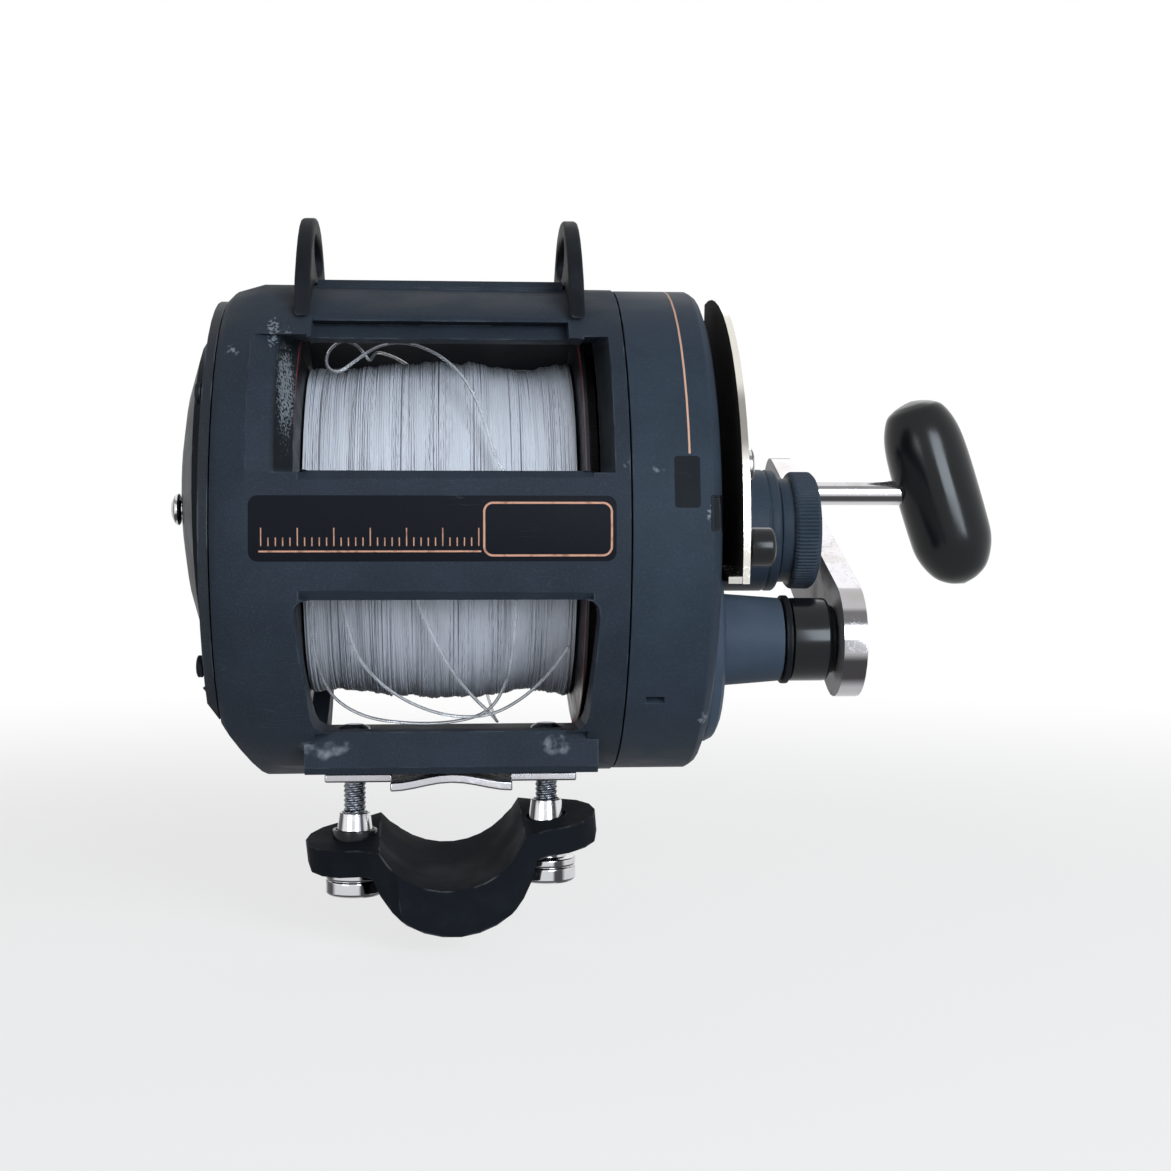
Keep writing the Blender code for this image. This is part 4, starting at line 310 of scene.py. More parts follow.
class Pen:
    """Writes nodes into a tree, so that a finish reads as a few lines.

    Args:
        tree: the material's, world's or group's node tree.
    """

    def __init__(self, tree: NodeTree) -> None:
        self.tree = tree

    @classmethod
    def on(cls, owner: Material | bpy.types.World) -> Pen:
        """A pen on the emptied tree of a new material or world."""
        owner.use_nodes = True
        owner.node_tree.nodes.clear()
        return cls(owner.node_tree)

    def add(self, kind: str, **settings: object) -> bpy.types.Node:
        """A node of one kind with its settings."""
        node = self.tree.nodes.new(kind)
        for name, value in settings.items():
            setattr(node, name, value)
        return node

    def feed(self, socket: NodeSocket, value: object) -> None:
        """Links a socket to another, or sets its value."""
        if isinstance(value, NodeSocket):
            self.tree.links.new(value, socket)
        elif socket.type == "RGBA":
            socket.default_value = (*value, 1.0)
        else:
            socket.default_value = value

    def math(self, operation: str, first: object, second: object = 0.0) -> NodeSocket:
        """One sum of one or two numbers.

        Args:
            operation: what is done.
            first: a number or a socket.
            second: the other one.

        Returns:
            The result.
        """
        node = self.add("ShaderNodeMath", operation=operation)
        self.feed(node.inputs[0], first)
        self.feed(node.inputs[1], second)
        return node.outputs[0]

    def times(self, *values: object) -> NodeSocket:
        """The product of numbers."""
        return reduce(lambda first, second: self.math("MULTIPLY", first, second), values)

    def most(self, *values: object) -> NodeSocket:
        """The greatest of numbers."""
        return reduce(lambda first, second: self.math("MAXIMUM", first, second), values)

    def away(self, value: object, middle: object) -> NodeSocket:
        """How far a number is from another, to either side."""
        return self.math("ABSOLUTE", self.math("SUBTRACT", value, middle))

    def vector(self, operation: str, first: object, second: object = (0.0, 0.0, 0.0)) -> NodeSocket:
        """One sum of vectors, or the number that it gives.

        Args:
            operation: what is done.
            first: a vector or a socket.
            second: the other one.

        Returns:
            The result.
        """
        node = self.add("ShaderNodeVectorMath", operation=operation)
        self.feed(node.inputs[0], first)
        self.feed(node.inputs[1], second)
        single = operation in ("LENGTH", "DOT_PRODUCT")
        return node.outputs["Value" if single else "Vector"]

    def noise(self, place: object, scale: object, detail: float = 3.0, distortion: float = 0.0) -> NodeSocket:
        """Cloudy noise from 0 to 1.

        Args:
            place: where it is read.
            scale: how fine it is.
            detail: how many finer layers are on it.
            distortion: how far it is bent.

        Returns:
            The noise.
        """
        node = self.add("ShaderNodeTexNoise")
        self.feed(node.inputs["Vector"], place)
        self.feed(node.inputs["Scale"], scale)
        node.inputs["Detail"].default_value = detail
        node.inputs["Distortion"].default_value = distortion
        return node.outputs["Fac"]

    def ramp(
        self, value: object, start: object, end: object, low: object = 0.0, high: object = 1.0
    ) -> NodeSocket:
        """Goes smoothly from low to high as the value goes from start to end.

        Args:
            value: the number that is followed.
            start: where the rise starts.
            end: where it ends.
            low: the result before the start.
            high: the result past the end.

        Returns:
            The result.
        """
        node = self.add("ShaderNodeMapRange", interpolation_type="SMOOTHSTEP")
        for socket, amount in zip(node.inputs, (value, start, end, low, high)):
            self.feed(socket, amount)
        return node.outputs[0]

    def mix(self, share: object, first: object, second: object) -> NodeSocket:
        """A colour between two colours, on the mixing node's sockets for colours.

        Args:
            share: how much of the second shows.
            first: a colour or a socket.
            second: the other one.

        Returns:
            The colour.
        """
        node = self.add("ShaderNodeMix", data_type="RGBA")
        for index, value in ((0, share), (6, first), (7, second)):
            self.feed(node.inputs[index], value)
        return node.outputs[2]

    def parts(self, value: NodeSocket) -> tuple[NodeSocket, NodeSocket, NodeSocket]:
        """The three numbers of a vector."""
        node = self.add("ShaderNodeSeparateXYZ")
        self.feed(node.inputs[0], value)
        return node.outputs[0], node.outputs[1], node.outputs[2]

    def place(self) -> NodeSocket:
        """Object coordinates, which are the reel's own at rest."""
        return self.add("ShaderNodeTexCoord").outputs["Object"]

    def bump(self, height: NodeSocket, strength: float, depth: float) -> NodeSocket:
        """The normal of a surface with a height on it.

        Args:
            height: the height.
            strength: how much of it shows.
            depth: how deep it is, in metres.

        Returns:
            The normal.
        """
        node = self.add("ShaderNodeBump")
        node.inputs["Strength"].default_value = strength
        node.inputs["Distance"].default_value = depth
        self.feed(node.inputs["Height"], height)
        return node.outputs[0]

    def group(self, tree: ShaderNodeTree, **inputs: object) -> list[NodeSocket]:
        """Places a node group with its values, given by the sockets' names with _ for a space.

        Args:
            tree: the group.
            inputs: a value or a socket for each input.

        Returns:
            The group's outputs in order.
        """
        node = self.add("ShaderNodeGroup", node_tree=tree)
        for name, value in inputs.items():
            self.feed(node.inputs[name.replace("_", " ")], value)
        return list(node.outputs)


class Effects:
    """The effects that several finishes share, each one a node group made once."""

    @staticmethod
    def start(name: str, inputs: dict[str, str], *outputs: str) -> tuple[Pen, dict[str, NodeSocket], dict]:
        """An empty group with its sockets.

        Args:
            name: the group's name.
            inputs: each input's name with Float or Vector.
            outputs: the outputs' names, all numbers.

        Returns:
            A pen on the group, its input sockets by name, and its output node's sockets by name.
        """
        tree = bpy.data.node_groups.new(name, "ShaderNodeTree")
        for label, kind in inputs.items():
            tree.interface.new_socket(label, in_out="INPUT", socket_type=f"NodeSocket{kind}")
        for label in outputs:
            tree.interface.new_socket(label, in_out="OUTPUT", socket_type="NodeSocketFloat")
        pen = Pen(tree)
        given = {socket.name: socket for socket in pen.add("NodeGroupInput").outputs}
        out = {socket.name: socket for socket in pen.add("NodeGroupOutput").inputs}
        return pen, given, out

    @staticmethod
    @cache
    def grain() -> ShaderNodeTree:
        """Moulded grain: fine noise for height, and a slow mottle for colour and gloss."""
        sockets = {"Vector": "Vector", "Scale": "Float"}
        pen, given, out = Effects.start("moulded grain", sockets, "Height", "Mottle")
        pen.feed(out["Height"], pen.noise(given["Vector"], given["Scale"], 2.0))
        pen.feed(out["Mottle"], pen.noise(given["Vector"], pen.times(given["Scale"], 0.045), 4.0))
        return pen.tree

    @staticmethod
    @cache
    def edge_wear() -> ShaderNodeTree:
        """Rubbed edges: where the rounded normal leaves the true one, broken up by noise."""
        sockets = {"Vector": "Vector", "Radius": "Float", "Amount": "Float"}
        pen, given, out = Effects.start("edge wear", sockets, "Mask")
        rounded = pen.add("ShaderNodeBevel", samples=4)
        pen.feed(rounded.inputs["Radius"], given["Radius"])
        true = pen.add("ShaderNodeNewGeometry").outputs["Normal"]
        likeness = pen.vector("DOT_PRODUCT", rounded.outputs[0], true)
        edge = pen.ramp(pen.math("SUBTRACT", 1.0, likeness), 0.02, 0.16)
        rubbed = pen.ramp(pen.noise(given["Vector"], 160.0, 5.0), 0.46, 0.62)
        pen.feed(out["Mask"], pen.times(edge, rubbed, given["Amount"]))
        return pen.tree

    @staticmethod
    @cache
    def scratches() -> ShaderNodeTree:
        """Fine scratches: thin lines where stretched noise passes its middle value, in some places only."""
        sockets = {"Vector": "Vector", "Stretch": "Vector", "Width": "Float", "Presence": "Float"}
        pen, given, out = Effects.start("scratches", sockets, "Mask")
        stretched = pen.vector("MULTIPLY", given["Vector"], given["Stretch"])
        line = pen.ramp(pen.away(pen.noise(stretched, 1.0, 2.0, 0.6), 0.5), given["Width"], 0.0)
        patch = pen.noise(given["Vector"], 55.0, 3.0)
        present = pen.ramp(patch, given["Presence"], pen.math("ADD", given["Presence"], 0.12))
        pen.feed(out["Mask"], pen.times(line, present))
        return pen.tree

    @staticmethod
    @cache
    def worn_patch() -> ShaderNodeTree:
        """A scuffed patch: specks that thin out with the distance from a centre, in a stretched space."""
        sockets = {"Vector": "Vector", "Centre": "Vector", "Reach": "Vector"}
        sockets |= {"Grain": "Float", "Cover": "Float", "Softness": "Float"}
        pen, given, out = Effects.start("worn patch", sockets, "Mask")
        offset = pen.vector("SUBTRACT", given["Vector"], given["Centre"])
        distance = pen.vector("LENGTH", pen.vector("DIVIDE", offset, given["Reach"]))
        near = pen.ramp(distance, 1.0, 0.25)
        speck = pen.noise(given["Vector"], given["Grain"], 6.0)
        level = pen.math("SUBTRACT", 0.68, pen.times(near, given["Cover"]))
        specks = pen.ramp(speck, level, pen.math("ADD", level, given["Softness"]))
        pen.feed(out["Mask"], pen.times(specks, near))
        return pen.tree

    @staticmethod
    @cache
    def printed_box() -> ShaderNodeTree:
        """Distance from the outline of a box with round corners, less than 0 inside it."""
        names = ("Across", "Up", "Centre Across", "Centre Up", "Half Width", "Half Height", "Corner")
        pen, given, out = Effects.start("printed box", dict.fromkeys(names, "Float"), "Distance")

        def beyond(value: str, centre: str, half: str) -> NodeSocket:
            offset = pen.away(given[value], given[centre])
            return pen.math("ADD", pen.math("SUBTRACT", offset, given[half]), given["Corner"])

        across = beyond("Across", "Centre Across", "Half Width")
        up = beyond("Up", "Centre Up", "Half Height")
        outside = [pen.math("POWER", pen.most(side, 0.0), 2.0) for side in (across, up)]
        far = pen.math("SQRT", pen.math("ADD", *outside))
        near = pen.math("MINIMUM", pen.most(across, up), 0.0)
        pen.feed(out["Distance"], pen.math("SUBTRACT", pen.math("ADD", far, near), given["Corner"]))
        return pen.tree


# --- Finishes ---------------------------------------------------------------------------------------------


@dataclass(frozen=True)
class Finish:
    """A finish of the reel.

    Args:
        name: the material's name.
        slot: the record's material slot; not used.
        colour: base colour.
        roughness: mean roughness.
    """

    name: str
    slot: str
    colour: Colour
    roughness: float
    made: ClassVar[dict[str, Material]] = {}

    def material(self) -> Material:
        """The material, made at the first call."""
        if self.name not in self.made:
            material = bpy.data.materials.new(self.name)
            pen = Pen.on(material)
            shader = pen.add("ShaderNodeBsdfPrincipled")
            output = pen.add("ShaderNodeOutputMaterial")
            pen.feed(output.inputs["Surface"], shader.outputs[0])
            self.paint(pen, shader.inputs)
            self.made[self.name] = material
        return self.made[self.name]

    def paint(self, pen: Pen, sockets: bpy.types.NodeInputs) -> None:
        """Feeds the shader's sockets.

        Args:
            pen: the pen on the material.
            sockets: the shader's inputs.
        """
        pen.feed(sockets["Base Color"], self.colour)

    def tinted(self, share: float) -> Colour:
        """The base colour times a number, at most 1."""
        return tuple(min(1.0, share * part) for part in self.colour)

    def dress(self, *items: Object) -> None:
        """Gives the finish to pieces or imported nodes."""
        for item in items:
            if item.material_slots:
                for slot in item.material_slots:
                    slot.material = self.material()
            else:
                item.data.materials.append(self.material())


@dataclass(frozen=True)
class Patch:
    """A scuffed patch of a moulding.

    Args:
        centre: its middle, in mm.
        reach: how far it goes along X, Y and Z, in mm.
        grain: how fine its specks are.
        cover: how much of its middle they cover.
        softness: how softly they end.
    """

    centre: Triple
    reach: Triple
    grain: float
    cover: float
    softness: float

    def mask(self, pen: Pen, place: NodeSocket) -> NodeSocket:
        """Where the patch shows."""
        return pen.group(
            Effects.worn_patch(),
            Vector=place,
            Centre=tuple(part * MM for part in self.centre),
            Reach=tuple(part * MM for part in self.reach),
            Grain=self.grain,
            Cover=self.cover,
            Softness=self.softness,
        )[0]


@dataclass(frozen=True)
class PrintedBox:
    """A box with round corners that is printed on the rear, in mm.

    Args:
        across: its middle along X.
        up: its middle above the spool axis.
        half_width: half its width.
        half_height: half its height.
        corner: radius of its corners.
    """

    across: float
    up: float
    half_width: float
    half_height: float
    corner: float

    def distance(self, pen: Pen, across: NodeSocket, up: NodeSocket) -> NodeSocket:
        """Distance from the box's outline in metres, less than 0 inside it."""
        return pen.group(
            Effects.printed_box(),
            Across=across,
            Up=up,
            Centre_Across=self.across * MM,
            Centre_Up=AXIS_HEIGHT + self.up * MM,
            Half_Width=self.half_width * MM,
            Half_Height=self.half_height * MM,
            Corner=self.corner * MM,
        )[0]


@dataclass(frozen=True)
class Moulded(Finish):
    """Moulded graphite composite: satin, with fine grain, rubbed edges, scratches and scuffs.

    Args:
        worn: colour where it is rubbed, scratched or speckled.
        grain: how fine the moulded grain is.
        wear: how much of its edges is rubbed.
        specular: strength of its mirror reflection.
        speckle: how much of the worn colour its specks show.
        mottle: how far its colour goes up and down in slow patches.
        scuff: colour of its scuffed patches.
        scuffed: how much of that colour they show.
        patches: its scuffed patches.
    """

    worn: Colour = (0.14, 0.16, 0.18)
    grain: float = 2600.0
    wear: float = 0.4
    specular: float = 0.07
    speckle: float = 0.07
    mottle: float = 0.09
    scuff: Colour = (0.25, 0.27, 0.29)
    scuffed: float = 0.8
    patches: tuple[Patch, ...] = ()

    def paint(self, pen: Pen, sockets: bpy.types.NodeInputs) -> None:
        """Mottled and speckled base, paler where edges are rubbed or scratched, over a fine moulded grain.

        Args:
            pen: the pen on the material.
            sockets: the shader's inputs.
        """
        place = pen.place()
        height, mottle = pen.group(Effects.grain(), Vector=place, Scale=self.grain)
        edge = pen.group(Effects.edge_wear(), Vector=place, Radius=0.5 * MM, Amount=self.wear)[0]
        stretch = (90.0, 240.0, 900.0)
        lines = pen.group(Effects.scratches(), Vector=place, Stretch=stretch, Width=0.012, Presence=0.56)[0]
        darker, lighter = self.tinted(1 - self.mottle), self.tinted(1 + self.mottle)
        base = pen.mix(pen.ramp(mottle, 0.3, 0.7), darker, lighter)
        specks = pen.ramp(pen.noise(place, 3200.0, 2.0), 0.45, 0.75, 0.0, self.speckle)
        base = pen.mix(specks, base, self.worn)
        base, rough = self.marks(pen, place, base, pen.ramp(mottle, 0.3, 0.7, 0.9, 1.1))
        rubbed = pen.most(edge, pen.times(lines, 0.12))
        pen.feed(sockets["Base Color"], pen.mix(rubbed, base, self.worn))
        pen.feed(sockets["Roughness"], pen.times(rough, self.roughness))
        sockets["Specular IOR Level"].default_value = self.specular
        pen.feed(sockets["Normal"], pen.bump(height, 0.35, 0.06 * MM))

    def marks(
        self, pen: Pen, place: NodeSocket, base: NodeSocket, rough: NodeSocket
    ) -> tuple[NodeSocket, NodeSocket]:
        """What is printed or scuffed on this piece alone.

        Args:
            pen: the pen on its material.
            place: Object coordinates.
            base: the base colour so far.
            rough: the roughness factor so far.

        Returns:
            The base colour and the roughness factor.
        """
        return base, rough

    def scuffs(self, pen: Pen, place: NodeSocket, base: NodeSocket) -> NodeSocket:
        """The base colour with the scuffed patches on it.

        Args:
            pen: the pen on the material.
            place: Object coordinates.
            base: the base colour so far.

        Returns:
            The base colour.
        """
        for patch in self.patches:
            base = pen.mix(pen.times(patch.mask(pen, place), self.scuffed), base, self.scuff)
        return base


@dataclass(frozen=True)
class PrintedFrame(Moulded):
    """The frame's composite with its label panel, printed in copper, its own scuffs, and painted shade on the
    upper window's side edges.

    Args:
        patches: its scuffed patches.
        panel: colour of the label panel.
        print_colour: colour of what is printed.
        panel_box: the label panel.
        badge_box: the badge's outline.
        rule_box: the line under the scale.
        scale_box: the band of the scale's short marks.
        long_box: the band of its long marks.
        mark_pitch: from one mark to the next.
        marks_to_long: how many marks it is from one long mark to the next.
        mark_half: half a mark's width.
        stroke: half the width of the badge's outline.
        soft: how softly the print ends.
        panel_face: how far back the panel is printed.
        shaded_edge: colour of the painted shade on the upper window's bevelled side edges.
        shaded_edge_boxes: where that shade is painted.
    """

    patches: tuple[Patch, ...] = (
        Patch((-26.4, -33.0, 71.0), (2.4, 14.0, 18.0), 2000.0, 0.24, 0.06),
        Patch((-28.8, -30.0, 81.5), (1.8, 9.0, 6.0), 1800.0, 0.2, 0.08),
        Patch((-20.5, -26.0, 8.2), (8.6, 5.0, 3.6), 380.0, 0.30, 0.3),
        Patch((20.5, -26.0, 8.8), (4.6, 5.0, 3.6), 460.0, 0.28, 0.28),
        Patch((30.6, -44.0, 58.0), (2.8, 4.0, 1.5), 600.0, 0.2, 0.2),
        Patch((-35.6, -30.0, 78.0), (3.6, 9.0, 2.0), 900.0, 0.14, 0.12),
    )
    panel: Colour = (0.004, 0.005, 0.008)
    print_colour: Colour = (0.60, 0.31, 0.21)
    panel_box: PrintedBox = PrintedBox(-1.1, 0.3, 30.6, 5.5, 1.6)
    badge_box: PrintedBox = PrintedBox(18.0, 0.2, 10.7, 4.4, 1.5)
    rule_box: PrintedBox = PrintedBox(-11.6, -3.5, 18.4, 0.14, 0.1)
    scale_box: PrintedBox = PrintedBox(-11.6, -1.9, 18.1, 0.7, 0.02)
    long_box: PrintedBox = PrintedBox(-11.6, -1.1, 18.1, 1.5, 0.02)
    mark_pitch: float = 1.2 * MM
    marks_to_long: float = 5.0
    mark_half: float = 0.09 * MM
    stroke: float = 0.17 * MM
    soft: float = 0.05 * MM
    panel_face: float = -35.0 * MM
    shaded_edge: Colour = (0.010, 0.012, 0.014)
    shaded_edge_boxes: tuple[PrintedBox, ...] = (
        PrintedBox(-26.45, 21.8, 1.5, 11.6, 0.9),
        PrintedBox(28.2, 21.8, 0.9, 11.2, 0.9),
    )

    def filled(self, pen: Pen, box: PrintedBox, across: NodeSocket, up: NodeSocket) -> NodeSocket:
        """Where the inside of a printed box shows.

        Args:
            pen: the pen on the material.
            box: the box.
            across: the place along X.
            up: the height.

        Returns:
            1 inside the box, 0 outside it.
        """
        return pen.ramp(box.distance(pen, across, up), self.soft, -self.soft)

    def scale(self, pen: Pen, across: NodeSocket, up: NodeSocket) -> NodeSocket:
        """Short marks at an even pitch, each fifth one longer, by how far each place is from a mark.

        Args:
            pen: the pen on the material.
            across: the place along X.
            up: the height.

        Returns:
            1 on a mark, 0 elsewhere.
        """
        rows = ((self.scale_box, self.mark_pitch), (self.long_box, self.mark_pitch * self.marks_to_long))
        drawn = []
        for box, pitch in rows:
            along = pen.math("DIVIDE", pen.math("SUBTRACT", across, box.across * MM), pitch)
            offset = pen.times(pen.away(along, pen.math("ROUND", along)), pitch)
            line = pen.ramp(offset, self.mark_half + self.soft, self.mark_half - self.soft)
            drawn.append(pen.times(line, self.filled(pen, box, across, up)))
        return pen.most(*drawn)

    def marks(
        self, pen: Pen, place: NodeSocket, base: NodeSocket, rough: NodeSocket
    ) -> tuple[NodeSocket, NodeSocket]:
        """The painted shade on the window's edges, the scuffs, and the panel with its rule, its scale and the
        badge.

        Args:
            pen: the pen on its material.
            place: Object coordinates.
            base: the base colour so far.
            rough: the roughness factor so far.

        Returns:
            The base colour and the roughness factor.
        """
        across, depth, up = pen.parts(place)
        outer = pen.math("LESS_THAN", depth, 0.0)
        # Painted shade: the upper window's bevelled side walls are darkened on the rear, where shade falls in
        # the recess.
        for box in self.shaded_edge_boxes:
            edge = pen.ramp(box.distance(pen, across, up), 0.7 * MM, -0.5 * MM)
            base = pen.mix(pen.times(edge, outer), base, self.shaded_edge)
        base = self.scuffs(pen, place, base)
        rear = pen.math("LESS_THAN", depth, self.panel_face)
        inside = pen.times(rear, self.filled(pen, self.panel_box, across, up))
        badge = pen.math("ABSOLUTE", self.badge_box.distance(pen, across, up))
        outline = pen.ramp(badge, self.stroke + self.soft, self.stroke - self.soft)
        rule = self.filled(pen, self.rule_box, across, up)
        worn_print = pen.ramp(pen.noise(place, 700.0, 4.0), 0.3, 0.5, 0.55, 1.0)
        ink = pen.times(pen.most(outline, rule, self.scale(pen, across, up)), pen.times(inside, worn_print))
        base = pen.mix(ink, pen.mix(inside, base, self.panel), self.print_colour)
        return base, pen.times(rough, pen.ramp(inside, 0.0, 1.0, 1.0, 0.78))


@dataclass(frozen=True)
class PrintedHousing(Moulded):
    """The right housing's composite with the lever's scale line printed on its drum, a dark tab, and a notch
    painted as shade on its rim.

    Args:
        patches: its scuffed patches.
        print_colour: colour of the line.
        line_place: where along X the line runs.
        line_half: half its width.
        line_start: how far above the axis it starts.
        soft: how softly the print ends.
        tab_colour_and_notch_shade: colour of the tab, and of the painted shade that stands for the notch's
            hollow.
        tab_box: the tab at the line's foot.
        painted_notch_box: where the notch behind the lever is painted as a dark patch of shade.
        rim_face: how far back the tab and the notch are painted, which is on the drum's rim alone.
    """

    patches: tuple[Patch, ...] = (
        Patch((36.6, -44.0, 57.4), (3.0, 3.0, 1.2), 700.0, 0.24, 0.2),
        Patch((46.4, -30.0, 14.0), (1.8, 4.0, 2.4), 700.0, 0.28, 0.14),
        Patch((45.4, -44.0, 49.6), (1.2, 3.0, 3.6), 1500.0, 0.26, 0.08),
    )
    print_colour: Colour = (0.62, 0.36, 0.25)
    line_place: float = 42.1 * MM
    line_half: float = 0.17 * MM
    line_start: float = 13.0 * MM
    soft: float = 0.05 * MM
    tab_colour_and_notch_shade: Colour = (0.010, 0.012, 0.015)
    tab_box: PrintedBox = PrintedBox(41.6, 8.2, 2.2, 4.4, 0.6)
    painted_notch_box: PrintedBox = PrintedBox(47.4, 2.9, 1.9, 3.1, 0.4)
    rim_face: float = -41.0 * MM

    def marks(
        self, pen: Pen, place: NodeSocket, base: NodeSocket, rough: NodeSocket
    ) -> tuple[NodeSocket, NodeSocket]:
        """The scuffs, the tab, the notch painted as shade, and the line round the upper rear of the drum.

        Args:
            pen: the pen on its material.
            place: Object coordinates.
            base: the base colour so far.
            rough: the roughness factor so far.

        Returns:
            The base colour and the roughness factor.
        """
        base = self.scuffs(pen, place, base)
        across, depth, up = pen.parts(place)
        rim = pen.math("LESS_THAN", depth, self.rim_face)
        # The tab is its own dark colour; the notch is painted shade, a dark patch where the rim's hollow
        # would lie in shadow.
        for box in (self.tab_box, self.painted_notch_box):
            inside = pen.times(rim, pen.ramp(box.distance(pen, across, up), 0.06 * MM, -0.06 * MM))
            base = pen.mix(inside, base, self.tab_colour_and_notch_shade)
        offset = pen.away(across, self.line_place)
        line = pen.ramp(offset, self.line_half + self.soft, self.line_half - self.soft)
        above = pen.math("GREATER_THAN", up, AXIS_HEIGHT + self.line_start)
        ink = pen.times(line, above, pen.math("LESS_THAN", depth, 0.0))
        return pen.mix(ink, base, self.print_colour), rough


@dataclass(frozen=True)
class Polished(Finish):
    """Polished black plastic with faint swirls and rubbed edges.

    Args:
        worn: colour where it is rubbed.
        specular: strength of its mirror reflection.
    """

    worn: Colour = (0.07, 0.075, 0.08)
    specular: float = 0.27

    def paint(self, pen: Pen, sockets: bpy.types.NodeInputs) -> None:
        """Near-black base under a gloss that is duller in slow patches and where fine scratches run.

        Args:
            pen: the pen on the material.
            sockets: the shader's inputs.
        """
        place = pen.place()
        stretch = (260.0, 220.0, 90.0)
        lines = pen.group(Effects.scratches(), Vector=place, Stretch=stretch, Width=0.004, Presence=0.6)[0]
        edge = pen.group(Effects.edge_wear(), Vector=place, Radius=0.3 * MM, Amount=0.25)[0]
        smear = pen.ramp(pen.noise(place, 70.0, 4.0), 0.3, 0.7, 0.8, 1.45)
        rubbed = pen.most(edge, pen.times(lines, 0.5))
        pen.feed(sockets["Base Color"], pen.mix(rubbed, self.colour, self.worn))
        pen.feed(sockets["Roughness"], pen.times(smear, self.roughness))
        sockets["Specular IOR Level"].default_value = self.specular
        pen.feed(sockets["Normal"], pen.bump(pen.noise(place, 110.0, 2.0), 0.08, 0.2 * MM))


@dataclass(frozen=True)
class Coated(Finish):
    """Black coated metal, rubbed through to bare metal at its edges and dusty in patches.

    Args:
        bare: colour of the bare metal.
        dust: colour of the dust.
        wear: how much of its edges is rubbed through.
        specular: strength of its mirror reflection.
    """

    bare: Colour = (0.22, 0.225, 0.23)
    dust: Colour = (0.032, 0.036, 0.042)
    wear: float = 0.5
    specular: float = 0.1

    def paint(self, pen: Pen, sockets: bpy.types.NodeInputs) -> None:
        """Satin coat with an orange-peel texture; bare metal shows where it is rubbed through.

        Args:
            pen: the pen on the material.
            sockets: the shader's inputs.
        """
        place = pen.place()
        height, mottle = pen.group(Effects.grain(), Vector=place, Scale=1500.0)
        edge = pen.group(Effects.edge_wear(), Vector=place, Radius=0.6 * MM, Amount=self.wear)[0]
        stretch = (120.0, 500.0, 700.0)
        lines = pen.group(Effects.scratches(), Vector=place, Stretch=stretch, Width=0.014, Presence=0.54)[0]
        dusty = pen.most(pen.ramp(mottle, 0.5, 0.75, 0.0, 0.4), pen.times(lines, 0.6))
        base = pen.mix(dusty, self.colour, self.dust)
        pen.feed(sockets["Base Color"], pen.mix(edge, base, self.bare))
        pen.feed(sockets["Metallic"], pen.times(edge, 0.8))
        rough = pen.ramp(mottle, 0.3, 0.75, self.roughness * 0.85, self.roughness * 1.3)
        pen.feed(sockets["Roughness"], rough)
        sockets["Specular IOR Level"].default_value = self.specular
        pen.feed(sockets["Normal"], pen.bump(height, 0.4, 0.08 * MM))


